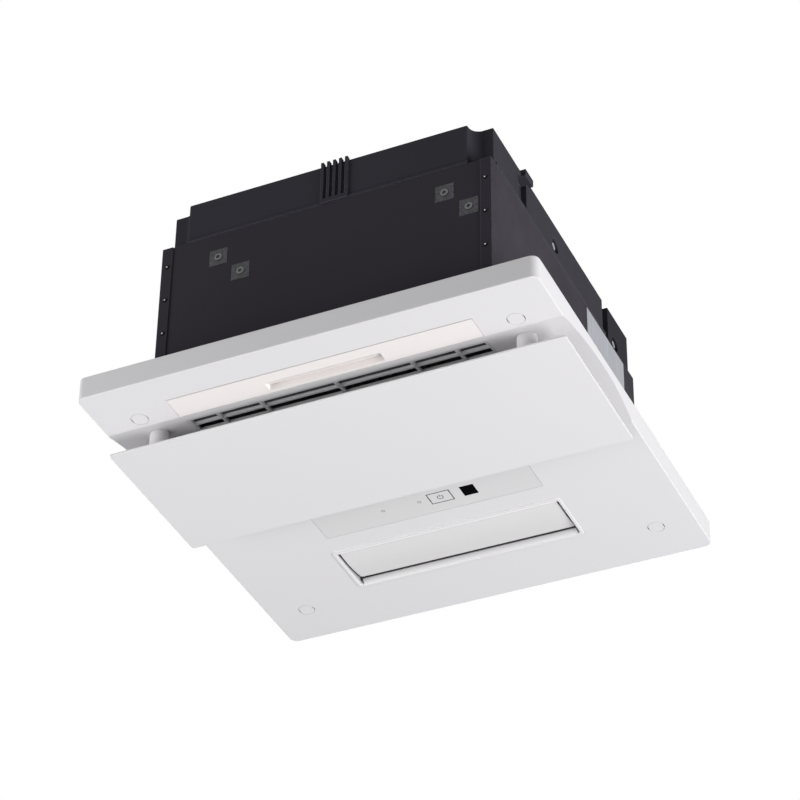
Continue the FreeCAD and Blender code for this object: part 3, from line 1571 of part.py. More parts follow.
# Backdraft flap: a light disc, cut off at its hinge line, that hangs shut on a pin in the spigot
def backdraft_flap():
    body = new_body("backdraft_flap")
    disc = sketch(body, "XZ_Plane", "-flap_near")
    chord = "sqrt(flap_radius^2 - flap_hinge^2)"
    profile(
        disc,
        [
            (f"-{chord}", "flap_z", "flap_radius", 1),
            ("0", "duct_rise - flap_radius", "flap_radius", 1),
            (chord, "flap_z"),
        ],
    )
    pad(body, disc, "flap_thick", reverse=True)
    sleeve = sketch(body, "YZ_Plane")
    circles(sleeve, [("flap_y", "flap_z")], "flap_sleeve")
    pad(body, sleeve, "flap_sleeve_length", "Symmetric")
    bore = sketch(body, "YZ_Plane")
    circles(bore, [("flap_y", "flap_z")], "flap_pin")
    pocket(body, bore, "2 * flap_radius", "Symmetric")
    reach = "(sqrt(duct_radius^2 - (flap_hinge + flap_pin)^2) - 2 * fit_gap)"
    keep("flap_pin", rod("flap_pin", "X", (f"-{reach}", "flap_y", "flap_z"), "flap_pin", f"2 * {reach}"))


front_panel()
hanging_cover()
intake_grille()
intake_filter()
control_strip()
control_pieces()
outlet_frame()
outlet_louver()
louver_motor()
panel_fixings()
housing()
patches()
group("lid_screws", lid_cover() + control_box())
electrics()
fan_chamber()
impeller()
fan_motor()
heater()
damper()
duct_adaptor()
backdraft_flap()

doc.recompute()
for item in doc.Objects:
    if "Invalid" in item.State or "Error" in item.State:
        raise RuntimeError(f"{item.Label} failed: {item.State}")
os.makedirs("parts", exist_ok=True)
for label, piece in NODES.items():
    if piece.Shape.isNull() or not piece.Shape.isValid():
        raise RuntimeError(f"{label} has no valid shape")
    piece.Shape.exportStep(f"parts/{label}.step")
print(len(NODES), "sub-parts written")
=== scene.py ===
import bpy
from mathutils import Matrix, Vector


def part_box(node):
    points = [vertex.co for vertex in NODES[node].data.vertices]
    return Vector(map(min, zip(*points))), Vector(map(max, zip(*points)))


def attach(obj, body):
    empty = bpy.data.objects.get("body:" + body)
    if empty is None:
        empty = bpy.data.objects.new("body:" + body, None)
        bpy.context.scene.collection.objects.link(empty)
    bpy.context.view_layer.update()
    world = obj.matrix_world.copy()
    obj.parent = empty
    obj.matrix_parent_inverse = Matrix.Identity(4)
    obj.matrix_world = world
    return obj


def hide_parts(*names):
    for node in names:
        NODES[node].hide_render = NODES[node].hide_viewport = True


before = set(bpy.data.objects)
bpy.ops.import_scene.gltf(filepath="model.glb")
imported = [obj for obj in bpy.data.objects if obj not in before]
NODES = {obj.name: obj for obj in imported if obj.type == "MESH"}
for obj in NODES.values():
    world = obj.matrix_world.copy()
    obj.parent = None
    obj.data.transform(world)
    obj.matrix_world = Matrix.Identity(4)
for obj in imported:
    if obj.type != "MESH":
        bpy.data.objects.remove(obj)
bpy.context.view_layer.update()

import math

import bmesh
import bpy
from bpy.props import FloatProperty, FloatVectorProperty, IntProperty, PointerProperty
from mathutils import Matrix, Vector

bl_info = {
    "name": "Bathroom ceiling heater",
    "version": (1, 0, 0),
    "blender": (4, 5, 0),
    "location": "3D View > Sidebar > Heater",
    "description": "Dresses the packed ceiling heater with its finishes and small fixings",
    "category": "Object",
}


# Properties

def tint(name, words, default):
    """A colour that a user may change."""
    return FloatVectorProperty(
        name=name, description=words, default=default, subtype="COLOR", min=0.0, max=1.0
    )


def amount(name, words, default):
    """A share from 0 to 1 that a user may change."""
    return FloatProperty(name=name, description=words, default=default, min=0.0, max=1.0, subtype="FACTOR")


def length(name, words, default):
    """A length in metres that a user may change."""
    return FloatProperty(name=name, description=words, default=default, unit="LENGTH", precision=5)


def angle(name, words, degrees):
    """An angle that a user may change."""
    return FloatProperty(name=name, description=words, default=math.radians(degrees), subtype="ANGLE")


def power(name, words, watts):
    """The power of a lamp that a user may change."""
    return FloatProperty(name=name, description=words, default=watts, unit="POWER")


class HeaterFinish(bpy.types.PropertyGroup):
    """Colours and gloss of the heater's materials."""

    panel: tint("Panel", "Moulded white of the panel and the hanging cover", (0.735, 0.725, 0.74))
    strip: tint("Filter strip", "Cream white of the filter's front strip", (0.83, 0.793, 0.783))
    outlet: tint("Outlet", "White of the outlet and its louver", (0.725, 0.716, 0.726))
    control: tint("Control strip", "White of the control strip and the key", (0.688, 0.68, 0.69))
    grille: tint("Grille", "Grey of the intake grille", (0.62, 0.62, 0.63))
    filter: tint("Filter", "Dark grey of the filter's frame and rails", (0.03, 0.03, 0.034))
    net: tint("Net", "Black of the filter's net", (0.016, 0.016, 0.018))
    window: tint("Receiver", "Black of the receiver's window", (0.002, 0.002, 0.0025))
    lens: tint("Lenses", "Frosted grey of the indicators", (0.50, 0.51, 0.50))
    ink: tint("Ink", "Dark grey of the printed marks on the key", (0.05, 0.05, 0.055))
    housing: tint("Housing", "Black coat of the sheet housing", (0.041, 0.038, 0.0465))
    lid: tint("Lid", "Blue-black of the lid and the fan's mouldings", (0.0437, 0.0427, 0.0525))
    box: tint("Control box", "Black of the far control box", (0.028, 0.0275, 0.033))
    film: tint("Patches", "Dark film of the patches", (0.036, 0.036, 0.039))
    plate: tint("Plate", "Bare silver plate on the side wall", (0.43, 0.44, 0.485))
    zinc: tint("Zinc", "Plated steel of the flange and the screws", (0.56, 0.57, 0.59))
    moulding: tint("Inner mouldings", "Grey of the impeller and the flaps", (0.30, 0.31, 0.32))
    motor: tint("Motors", "Coat of the motors", (0.15, 0.15, 0.16))
    fin: tint("Fins", "Bare aluminium of the heater's fins", (0.66, 0.66, 0.68))
    heat_frame: tint("Heater frame", "Brown-black heat-proof moulding", (0.045, 0.035, 0.028))
    board: tint("Boards", "Green of the circuit boards", (0.02, 0.13, 0.05))
    fitting: tint("Fittings", "Black of terminals and standoffs", (0.014, 0.014, 0.015))
    panel_rough: amount("Panel roughness", "How dull the panel and the cover are", 0.5)
    strip_rough: amount("Strip roughness", "How dull the strips and the outlet are", 0.45)
    white_gloss: amount("White gloss", "How strongly the white mouldings mirror their surroundings", 0.12)
    black_rough: amount("Black roughness", "How dull the black housing is", 0.5)
    black_gloss: amount("Black gloss", "How strongly the black housing mirrors its surroundings", 0.012)
    lid_gloss: amount("Lid gloss", "How strongly the black mouldings mirror their surroundings", 0.005)
    # Painted shade in the outlet's mouth: darker with height, standing in for the shade that falls inside it.
    painted_shade: amount("Dusk", "Share of its tone that the outlet's mouth keeps in its depth", 0.3)
    painted_shade_from: length("Dusk from", "Height above the outlet's edge where its mouth begins to darken", 0.0006)
    painted_shade_to: length("Dusk to", "Height above the outlet's edge where its mouth is darkest", 0.0078)


class HeaterFixings(bpy.types.PropertyGroup):
    """Shapes of the small fixings."""

    sides: IntProperty(
        name="Sides", description="Steps round a turned fixing or a printed ring", default=28, min=8, max=96
    )
    dimple: amount("Rivet dimple", "Width of the hole in a rivet's head, of the head's width", 0.4)
    slot: amount("Cross slot", "Length of a screw's cross slot, of the head's width", 0.62)
    slot_width: amount("Slot width", "Width of a screw's cross slot, of the head's width", 0.13)
    slot_depth: length("Slot depth", "Depth of a screw's cross slot", 0.0014)
    side_rise: length("Side screw rise", "How far a side screw's head stands up in its pocket", 0.0022)
    # A thin dark strip behind the grille's near rim is painted shadow; these lengths shape it.
    painted_shadow: length("Seal", "Depth of the foam seal behind the grille's near rim", 0.0076)
    painted_shadow_span: amount("Seal span", "Width of the foam seal, of the grille's width", 0.98)
    painted_shadow_film: length("Seal film", "Thickness of the foam seal", 0.0003)
    lip: length("Outlet lip", "Reach of the outlet's lip over the gap beside the louver's hinge", 0.0023)
    lip_thick: length("Lip thickness", "Thickness of the outlet's lip", 0.0008)
    lip_set: length("Lip set", "Height of the outlet's lip above the frame's lowest edge", 0.0003)
    outline: length("Key outline", "Width of the printed line round the key", 0.0008)
    sign: length("Key sign", "Radius of the standby sign on the key", 0.0032)
    sign_line: amount("Sign line", "Width of the sign's line, of its radius", 0.22)
    sign_gap: angle("Sign gap", "Half of the opening in the sign's ring", 32.0)
    ink_film: length("Ink film", "Thickness of the printed marks", 0.00006)


class HeaterStage(bpy.types.PropertyGroup):
    """Floor, lamps and camera."""

    floor_drop: length("Floor drop", "Height of the ceiling plane above the floor", 3.2)
    floor_side: length("Floor side", "Width of the square floor", 160.0)
    floor_grey: amount("Floor grey", "Tone of the floor under the lamps", 0.8)
    floor_glow: amount("Floor glow", "Light that lifts the floor to white for the camera", 0.75)
    camera_at: FloatVectorProperty(
        name="Camera", description="Place of the camera", default=(0.9517, -2.0799, -1.6355), subtype="XYZ"
    )
    azimuth: angle("Azimuth", "Turn of the camera round the heater", 24.716)
    elevation: angle("Elevation", "Height of the camera above the horizon", -36.632)
    roll: angle("Roll", "Turn of the camera about its own line of sight", 0.759)
    focal: FloatProperty(name="Focal length", description="In millimetres", default=131.82)
    sensor: FloatProperty(name="Sensor", description="Width of the sensor in millimetres", default=36.0)
    reach: length("Reach", "How far the camera sees", 200.0)
    sky: FloatProperty(name="Sky", description="Level of the even light from all round", default=0.25)
    key: power("Key", "Power of the lamp on the right", 86.0)
    fill: power("Fill", "Power of the lamp on the left", 21.0)
    near: power("Near", "Power of the lamp on the near side", 1.2)
    top: power("Top", "Power of the lamp above and behind", 40.0)


# Nodes

def node(tree, kind, settings=None, **inputs):
    """A node with its settings made, and its sockets linked or set; a double underscore is a space."""
    made = tree.nodes.new(kind)
    for name, value in (settings or {}).items():
        setattr(made, name, value)
    for name, value in inputs.items():
        join(tree, made.inputs[name.replace("__", " ")], value)
    return made


def join(tree, socket, value):
    """Links a socket to another socket or gives it a value."""
    if isinstance(value, bpy.types.NodeSocket):
        tree.links.new(value, socket)
    else:
        socket.default_value = value


def mixed(tree, factor, first, second):
    """A colour between two colours."""
    made = node(tree, "ShaderNodeMix", {"data_type": "RGBA"})
    for index, value in ((0, factor), (6, first), (7, second)):
        join(tree, made.inputs[index], value)
    return made.outputs[2]


def ranged(tree, value, low, high, new_low=0.0, new_high=1.0):
    """A value moved from one range to another."""
    made = node(tree, "ShaderNodeMapRange", Value=value)
    for index, number in enumerate((low, high, new_low, new_high), 1):
        made.inputs[index].default_value = number
    return made.outputs["Result"]


def maths(tree, operation, first, second=0.0):
    """One step of arithmetic."""
    made = node(tree, "ShaderNodeMath", {"operation": operation})
    join(tree, made.inputs[0], first)
    join(tree, made.inputs[1], second)
    return made.outputs[0]


def noise(tree, place, scale, detail=2.0, rough=0.5):
    """Even noise between 0 and 1 at a place."""
    made = node(tree, "ShaderNodeTexNoise", Vector=place, Detail=detail, Roughness=rough)
    join(tree, made.inputs["Scale"], scale)
    return made.outputs["Fac"]


def effect(name, inputs, outputs):
    """An empty node group with its sockets, its input node and its output node."""
    tree = bpy.data.node_groups.new(name, "ShaderNodeTree")
    for label, default in inputs.items():
        socket = tree.interface.new_socket(name=label, in_out="INPUT", socket_type="NodeSocketFloat")
        socket.default_value = default
    for label, kind in outputs.items():
        tree.interface.new_socket(name=label, in_out="OUTPUT", socket_type=f"NodeSocket{kind}")
    return tree, node(tree, "NodeGroupInput"), node(tree, "NodeGroupOutput")


def place_of(tree):
    """The point of the surface in the heater's own frame."""
    return node(tree, "ShaderNodeTexCoord").outputs["Object"]


def moulded_grain():
    """Fine pores, wider flow marks and slow drifts of tone on a moulding."""
    tree, given, made = effect(
        "Moulded grain",
        {"Pores": 1400.0, "Flow": 60.0, "Drift": 7.0},
        {"Pore": "Float", "Flow": "Float", "Tone": "Float"},
    )
    spot = place_of(tree)
    join(tree, made.inputs["Pore"], noise(tree, spot, given.outputs["Pores"], detail=3.0, rough=0.6))
    join(tree, made.inputs["Flow"], noise(tree, spot, given.outputs["Flow"], detail=3.0))
    join(tree, made.inputs["Tone"], noise(tree, spot, given.outputs["Drift"]))


def rounded_edge():
    """A normal that softens sharp edges, and a mask of where they are."""
    tree, given, made = effect("Rounded edge", {"Radius": 0.0006}, {"Normal": "Vector", "Edge": "Float"})
    soft = node(tree, "ShaderNodeBevel", {"samples": 6}, Radius=given.outputs["Radius"])
    true = node(tree, "ShaderNodeNewGeometry")
    dot = node(tree, "ShaderNodeVectorMath", {"operation": "DOT_PRODUCT"})
    join(tree, dot.inputs[0], soft.outputs["Normal"])
    join(tree, dot.inputs[1], true.outputs["Normal"])
    join(tree, made.inputs["Edge"], ranged(tree, dot.outputs["Value"], 1.0, 0.78))
    join(tree, made.inputs["Normal"], soft.outputs["Normal"])


def drawn_lines():
    """Fine lines left by a roller or a brush, along the axis that has the low frequency."""
    tree, given, made = effect("Drawn lines", {"X": 900.0, "Y": 14.0, "Z": 900.0}, {"Line": "Float"})
    scale = node(tree, "ShaderNodeCombineXYZ")
    for axis in "XYZ":
        join(tree, scale.inputs[axis], given.outputs[axis])
    spot = node(tree, "ShaderNodeVectorMath", {"operation": "MULTIPLY"})
    join(tree, spot.inputs[0], place_of(tree))
    join(tree, spot.inputs[1], scale.outputs[0])
    line = noise(tree, spot.outputs[0], 1.0, detail=4.0, rough=0.65)
    join(tree, made.inputs["Line"], ranged(tree, line, 0.3, 0.7))


def zinc_spangle():
    """Crystals of a zinc coat."""
    tree, given, made = effect("Zinc spangle", {"Scale": 160.0}, {"Cell": "Float"})
    cells = node(tree, "ShaderNodeTexVoronoi", Vector=place_of(tree))
    join(tree, cells.inputs["Scale"], given.outputs["Scale"])
    grey = node(tree, "ShaderNodeRGBToBW", Color=cells.outputs["Color"])
    join(tree, made.inputs["Cell"], grey.outputs[0])


def woven_net():
    """Threads of a net on a plane that tilts about X, with the holes between them."""
    inputs = {"Pitch": 0.0012, "Thread": 0.42, "Tilt": math.radians(-22.0)}
    tree, given, made = effect("Woven net", inputs, {"Thread": "Float", "Height": "Float"})
    tilt = node(tree, "ShaderNodeCombineXYZ", X=given.outputs["Tilt"])
    spot = node(tree, "ShaderNodeMapping", Vector=place_of(tree), Rotation=tilt.outputs[0])
    parts = node(tree, "ShaderNodeSeparateXYZ", Vector=spot.outputs[0])
    threads = []
    for axis in ("X", "Y"):
        count = maths(tree, "DIVIDE", parts.outputs[axis], given.outputs["Pitch"])
        off = maths(tree, "PINGPONG", count, 0.5)
        threads.append(ranged(tree, off, 0.0, 0.5, 1.0, 0.0))
    top = maths(tree, "MAXIMUM", *threads)
    edge = maths(tree, "SUBTRACT", 1.0, given.outputs["Thread"])
    join(tree, made.inputs["Thread"], maths(tree, "GREATER_THAN", top, edge))
    join(tree, made.inputs["Height"], maths(tree, "POWER", top, 2.0))


def copper_tracks():
    """Tracks and pads under a board's green coat."""
    tree, given, made = effect("Copper tracks", {"Scale": 170.0}, {"Track": "Float"})
    cells = node(tree, "ShaderNodeTexVoronoi", {"distance": "CHEBYCHEV"}, Vector=place_of(tree))
    join(tree, cells.inputs["Scale"], given.outputs["Scale"])
    join(tree, made.inputs["Track"], ranged(tree, cells.outputs["Distance"], 0.28, 0.34))


EFFECTS = (moulded_grain, rounded_edge, drawn_lines, zinc_spangle, woven_net, copper_tracks)


def use(tree, name, **inputs):
    """A shared effect, placed in a material with its own values."""
    made = node(tree, "ShaderNodeGroup", {"node_tree": bpy.data.node_groups[name]})
    for label, value in inputs.items():
        made.inputs[label].default_value = value
    return made.outputs


# Materials

def toned(colour, factor):
    """A colour made lighter or darker."""
    return tuple(min(1.0, channel * factor) for channel in colour)


def shade(colour, factor):
    """A colour made lighter or darker, with full alpha."""
    return toned(colour, factor) + (1.0,)


def blank(name):
    """A material with a bare Principled shader."""
    made = bpy.data.materials.new(name)
    made.use_nodes = True
    return made, made.node_tree, made.node_tree.nodes["Principled BSDF"]


def relief(tree, shader, height, strength, depth, **normal):
    """Bumps a material's surface by a height, on top of another normal where one is given."""
    bump = node(tree, "ShaderNodeBump", Strength=strength, Distance=depth, Height=height, **normal)
    join(tree, shader.inputs["Normal"], bump.outputs[0])


def uneven(tree, shader, marks, rough, play, spread):
    """Lets marks move a material's roughness about its middle value."""
    dull = ranged(tree, marks, 0.5 - spread, 0.5 + spread, rough - play, rough + play)
    join(tree, shader.inputs["Roughness"], dull)


def moulded(
    name, colour, rough, pores=1400.0, depth=0.00002, soft=0.0006, drift=0.02, edge_wear_and_highlight=0.6, wear_and_highlight=1.06, gloss=0.5,
    painted_shade=None,
):
    """Moulded plastic: pores, flow marks in the gloss, slow drift of tone, softened edges and lighter edges,
    partly wear and partly painted highlight.

    A mouth gets painted shade inside: its full tone ends at one height, and falls to a share of it at
    another.
    """
    made, tree, shader = blank(name)
    grain = use(tree, "Moulded grain", Pores=pores)
    edge = use(tree, "Rounded edge", Radius=soft)
    body = mixed(tree, grain["Tone"], shade(colour, 1.0 - drift), shade(colour, 1.0 + drift))
    # Lighter edges: partly wear, partly painted highlight where light catches them.
    worn_and_painted_light = mixed(tree, maths(tree, "MULTIPLY", edge["Edge"], edge_wear_and_highlight), body, shade(colour, wear_and_highlight))
    # Painted shade: darker with height inside a mouth, where shade falls.
    if painted_shade:
        full, deep, share = painted_shade
        height = node(tree, "ShaderNodeSeparateXYZ", Vector=place_of(tree)).outputs["Z"]
        worn_and_painted_light = mixed(tree, ranged(tree, height, full, deep), worn_and_painted_light, shade(colour, share))
    join(tree, shader.inputs["Base Color"], worn_and_painted_light)
    uneven(tree, shader, grain["Flow"], rough, play=0.05, spread=0.25)
    relief(tree, shader, grain["Pore"], strength=0.5, depth=depth, Normal=edge["Normal"])
    shader.inputs["Specular IOR Level"].default_value = gloss
    return made


def coated(name, colour, rough, drift=0.12, wear_and_highlight=3.6, gloss=0.5):
    """Sheet metal under a sprayed coat: orange peel, handling marks in the gloss, and lighter edges, partly
    rubbed and partly painted highlight.
    """
    made, tree, shader = blank(name)
    grain = use(tree, "Moulded grain", Pores=420.0, Flow=26.0, Drift=5.0)
    edge = use(tree, "Rounded edge", Radius=0.001)
    body = mixed(tree, grain["Tone"], shade(colour, 1.0 - drift), shade(colour, 1.0 + drift))
    # Lighter edges, more where handled: partly rubbed coat, partly painted highlight.
    edge_wear_and_highlight = maths(tree, "MULTIPLY", edge["Edge"], ranged(tree, grain["Flow"], 0.3, 0.7, 0.5, 1.0))
    join(tree, shader.inputs["Base Color"], mixed(tree, edge_wear_and_highlight, body, shade(colour, wear_and_highlight)))
    uneven(tree, shader, grain["Flow"], rough, play=0.07, spread=0.2)
    relief(tree, shader, grain["Pore"], strength=0.4, depth=0.00003, Normal=edge["Normal"])
    shader.inputs["Specular IOR Level"].default_value = gloss
    return made


def bare_metal(name, colour, rough, lines=0.5, spangle=0.0, crystal=0.72, wear_and_highlight=1.25, **drawn_along):
    """Bare or plated metal: drawn lines, zinc crystals and brighter edges."""
    made, tree, shader = blank(name)
    line = use(tree, "Drawn lines", **drawn_along)
    cell = use(tree, "Zinc spangle")
    edge = use(tree, "Rounded edge", Radius=0.0003)
    swing = 0.2 * lines
    drawn = mixed(tree, line["Line"], shade(colour, 1.0 - swing), shade(colour, 1.0 + swing))
    body = mixed(tree, maths(tree, "MULTIPLY", cell["Cell"], spangle), drawn, shade(colour, crystal))
    # Brighter edges: partly wear, partly painted highlight.
    join(tree, shader.inputs["Base Color"], mixed(tree, edge["Edge"], body, shade(colour, wear_and_highlight)))
    uneven(tree, shader, line["Line"], rough, play=0.08, spread=0.3)
    relief(tree, shader, line["Line"], strength=0.25, depth=0.00002, Normal=edge["Normal"])
    shader.inputs["Metallic"].default_value = 1.0
    return made


def netting(name, colour):
    """The filter's net, with holes between its threads."""
    made, tree, shader = blank(name)
    net = use(tree, "Woven net")
    grain = use(tree, "Moulded grain")
    tone = mixed(tree, grain["Pore"], shade(colour, 0.7), shade(colour, 1.5))
    join(tree, shader.inputs["Base Color"], tone)
    join(tree, shader.inputs["Alpha"], net["Thread"])
    relief(tree, shader, net["Height"], strength=0.8, depth=0.0003)
    shader.inputs["Roughness"].default_value = 0.7
    return made


def circuit(name, colour):
    """A coated circuit board."""
    made, tree, shader = blank(name)
    track = use(tree, "Copper tracks")
    grain = use(tree, "Moulded grain", Pores=600.0)
    tone = mixed(tree, grain["Tone"], shade(colour, 0.85), shade(colour, 1.15))
    join(tree, shader.inputs["Base Color"], mixed(tree, track["Track"], tone, shade(colour, 1.7)))
    uneven(tree, shader, grain["Flow"], rough=0.28, play=0.06, spread=0.2)
    relief(tree, shader, track["Track"], strength=0.5, depth=0.00005)
    return made


def dark_window(name, colour, rough, gloss):
    """A smooth dark window: faint waves in its gloss."""
    made, tree, shader = blank(name)
    grain = use(tree, "Moulded grain", Pores=260.0, Flow=90.0, Drift=40.0)
    edge = use(tree, "Rounded edge", Radius=0.0003)
    body = mixed(tree, grain["Tone"], shade(colour, 0.85), shade(colour, 1.2))
    # Lighter edges: partly wear, partly painted highlight.
    join(tree, shader.inputs["Base Color"], mixed(tree, edge["Edge"], body, shade(colour, 1.6)))
    uneven(tree, shader, grain["Flow"], rough, play=0.3 * rough, spread=0.3)
    relief(tree, shader, grain["Pore"], strength=0.2, depth=0.00004, Normal=edge["Normal"])
    shader.inputs["Specular IOR Level"].default_value = gloss
    return made


def embossed_film(name, colour, rough):
    """Thin film with an embossed hatch, seen on an upright face."""
    made, tree, shader = blank(name)
    hatch = use(tree, "Woven net", Pitch=0.0022, Thread=0.5, Tilt=math.radians(90.0))
    grain = use(tree, "Moulded grain", Pores=380.0, Flow=120.0)
    body = mixed(tree, hatch["Thread"], shade(colour, 0.45), shade(colour, 1.25))
    speck = ranged(tree, grain["Pore"], 0.44, 0.58, 0.0, 0.9)
    join(tree, shader.inputs["Base Color"], mixed(tree, speck, body, shade(colour, 1.9)))
    uneven(tree, shader, grain["Flow"], rough, play=0.1, spread=0.3)
    relief(tree, shader, hatch["Height"], strength=0.6, depth=0.00008)
    shader.inputs["Specular IOR Level"].default_value = 0.3
    return made


def frosted(name, colour):
    """A light guide: frosted, with some light let into it."""
    made = moulded(name, colour, rough=0.3, pores=2600.0, soft=0.0004, drift=0.06)
    shader = made.node_tree.nodes["Principled BSDF"]
    shader.inputs["Subsurface Weight"].default_value = 0.35
    shader.inputs["Subsurface Radius"].default_value = (0.002, 0.002, 0.002)
    return made


def dress(material, *names):
    """Gives CAD nodes their material."""
    for name in names:
        for slot in NODES[name].material_slots:
            slot.material = material


# Meshes

WELD = 1e-6  # points closer than this are one point, in metres
LEVEL = 1e-5  # points of one flat face differ by less than this in height, in metres
SHARP = math.radians(40.0)  # edges that turn by more than this stay sharp
SLOT_FOOT = (0.55, 0.8)  # a cross slot's foot along X and Y, of its mouth
CORNER = 0.3  # inset of a rounded corner's middle point, of its radius
SIGN_BAR = (-0.1, -1.2)  # ends of the standby sign's bar, of its ring's radius
SCREW_DOME = ((1.0, 0.0014), (0.9, 0.0006), (0.6, 0.0001))  # share of the radius, metres below the top
RIVET_DOME = ((1.0, 0.25), (0.9, 0.6), (0.7, 0.9))  # share of the radius, share of the rise
RIVET_HOLE = ((1.2, 1.0), (1.0, 0.94), (0.9, 0.4), (0.0, 0.4))  # share of the hole, share of the rise
RIVET_PIN = ((0.0, 0.3), (0.86, 0.3), (0.86, 0.84), (0.5, 0.98), (0.0, 1.0))  # the same


def islands(name):
    """Lowest and highest corner of each separate solid of a CAD node."""
    shell = bmesh.new()
    shell.from_mesh(NODES[name].data)
    bmesh.ops.remove_doubles(shell, verts=shell.verts, dist=WELD)
    boxes, seen = [], set()
    for first in shell.verts:
        if first in seen:
            continue
        stack, found = [first], []
        seen.add(first)
        while stack:
            vert = stack.pop()
            found.append(vert.co.copy())
            for near in (edge.other_vert(vert) for edge in vert.link_edges):
                if near not in seen:
                    seen.add(near)
                    stack.append(near)
        low = Vector(min(point[axis] for point in found) for axis in range(3))
        high = Vector(max(point[axis] for point in found) for axis in range(3))
        boxes.append((low, high))
    shell.free()
    return boxes


def lathe(shape, outline, place, sides):
    """A turned solid: outline is a list of radius and height along the place's own Z, from axis to axis."""
    rings = []
    for radius, height in outline:
        if radius == 0.0:
            rings.append([shape.verts.new(place @ Vector((0.0, 0.0, height)))])
            continue
        ring = []
        for step in range(sides):
            turn = 2.0 * math.pi * step / sides
            spot = Vector((radius * math.cos(turn), radius * math.sin(turn), height))
            ring.append(shape.verts.new(place @ spot))
        rings.append(ring)
    for lower, upper in zip(rings, rings[1:]):
        for step in range(sides):
            after = (step + 1) % sides
            if len(lower) == 1:
                shape.faces.new((lower[0], upper[after], upper[step]))
            elif len(upper) == 1:
                shape.faces.new((lower[step], lower[after], upper[0]))
            else:
                shape.faces.new((lower[step], lower[after], upper[after], upper[step]))


def cross(shape, place, size, width, depth):
    """A tapered plus-shaped plug, to be cut from a screw's head."""
    corners = []
    for step in range(4):
        turn = Matrix.Rotation(step * math.pi / 2.0, 3, "Z")
        for x, y in ((size, -width), (size, width), (width, width)):
            corners.append(turn @ Vector((x, y, 0.0)))
    foot_x, foot_y = SLOT_FOOT
    low = [shape.verts.new(place @ Vector((p.x * foot_x, p.y * foot_y, -depth))) for p in corners]
    high = [shape.verts.new(place @ Vector((p.x, p.y, depth))) for p in corners]
    shape.faces.new(list(reversed(low)))
    shape.faces.new(high)
    for i, low_corner in enumerate(low):
        after = (i + 1) % len(low)
        shape.faces.new((low_corner, low[after], high[after], high[i]))


def band(shape, inner, outer, place, thickness, closed):
    """A flat band between two lines with the same count of points, closed to a ring or left open."""
    layers = []
    for height in (0.0, thickness):
        pair = []
        for line in (inner, outer):
            pair.append([shape.verts.new(place @ Vector((x, y, height))) for x, y in line])
        layers.append(pair)
    (low_in, low_out), (high_in, high_out) = layers
    for i in range(len(inner) if closed else len(inner) - 1):
        after = (i + 1) % len(inner)
        for first, second in ((low_in, low_out), (low_out, high_out), (high_out, high_in), (high_in, low_in)):
            shape.faces.new((first[i], first[after], second[after], second[i]))
    if not closed:
        for end in (0, -1):
            shape.faces.new((low_in[end], low_out[end], high_out[end], high_in[end]))


def crosswise(span):
    """Place that turns a drawing in Y and Z into a bar along X, from one side to the other."""
    return Matrix(((0.0, 0.0, 1.0, -span), (1.0, 0.0, 0.0, 0.0), (0.0, 1.0, 0.0, 0.0), (0.0, 0.0, 0.0, 1.0)))


def lower_face(name):
    """Lowest face of a CAD node: its lowest and highest X and Y, and its height."""
    points = [vert.co for vert in NODES[name].data.vertices]
    floor = min(point.z for point in points)
    low = [point for point in points if point.z < floor + LEVEL]
    left, right = min(p.x for p in low), max(p.x for p in low)
    near, far = min(p.y for p in low), max(p.y for p in low)
    return left, near, right, far, floor


def smooth(mesh):
    """Smooth faces between the edges that stay sharp."""
    mesh.polygons.foreach_set("use_smooth", [True] * len(mesh.polygons))
    mesh.set_sharp_from_angle(angle=SHARP)


def settle(name, shape, material, body, slot, *nodes):
    """Turns a bmesh into a piece that rides on a body and stands for CAD nodes."""
    bmesh.ops.recalc_face_normals(shape, faces=shape.faces)
    mesh = bpy.data.meshes.new(name)
    shape.to_mesh(mesh)
    shape.free()
    piece = bpy.data.objects.new(name, mesh)
    bpy.context.scene.collection.objects.link(piece)
    mesh.materials.append(material)
    smooth(mesh)
    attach(piece, body)
    if nodes:
        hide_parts(*nodes)
    return piece


def carve(piece, plugs):
    """Cuts plugs out of a piece and keeps the result as its mesh."""
    mesh = bpy.data.meshes.new("plugs")
    bmesh.ops.recalc_face_normals(plugs, faces=plugs.faces)
    plugs.to_mesh(mesh)
    plugs.free()
    tool = bpy.data.objects.new("plugs", mesh)
    bpy.context.scene.collection.objects.link(tool)
    step = piece.modifiers.new("slots", "BOOLEAN")
    step.operation, step.solver, step.object = "DIFFERENCE", "EXACT", tool
    graph = bpy.context.evaluated_depsgraph_get()
    carved = bpy.data.meshes.new_from_object(piece.evaluated_get(graph))
    piece.modifiers.remove(step)
    if len(carved.polygons) <= len(piece.data.polygons):
        raise RuntimeError(f"{piece.name}: the slots cut nothing")
    smooth(carved)
    piece.data = carved
    bpy.data.objects.remove(tool)


# Operators

class HeaterPiece:
    """Common base of the operators that dress or make pieces."""

    bl_options = {"REGISTER", "UNDO"}

    def done(self, *materials):
        """Ends an operator, or stops it where a material has no shader."""
        for material in materials:
            if material.node_tree.nodes.get("Principled BSDF") is None:
                raise RuntimeError(f"{material.name} has no shader")
        return {"FINISHED"}


class HEATER_OT_effects(HeaterPiece, bpy.types.Operator):
    """Builds the shared surface effects"""

    bl_idname = "heater.effects"
    bl_label = "Surface effects"

    def execute(self, context):
        for build in EFFECTS:
            build()
        if len(bpy.data.node_groups) < len(EFFECTS):
            raise RuntimeError("an effect is missing")
        return {"FINISHED"}


class HEATER_OT_panel(HeaterPiece, bpy.types.Operator):
    """Dresses the front panel, the hanging cover, its posts and the screw caps"""

    bl_idname = "heater.panel"
    bl_label = "Panel and cover"

    def execute(self, context):
        look = context.scene.heater_finish
        white = moulded(
            "panel_white", look.panel, look.panel_rough, depth=0.000012, drift=0.008, wear_and_highlight=1.03,
            gloss=look.white_gloss,
        )
        dress(white, "front_panel", "hanging_cover", "cover_posts", "screw_caps")
        return self.done(white)


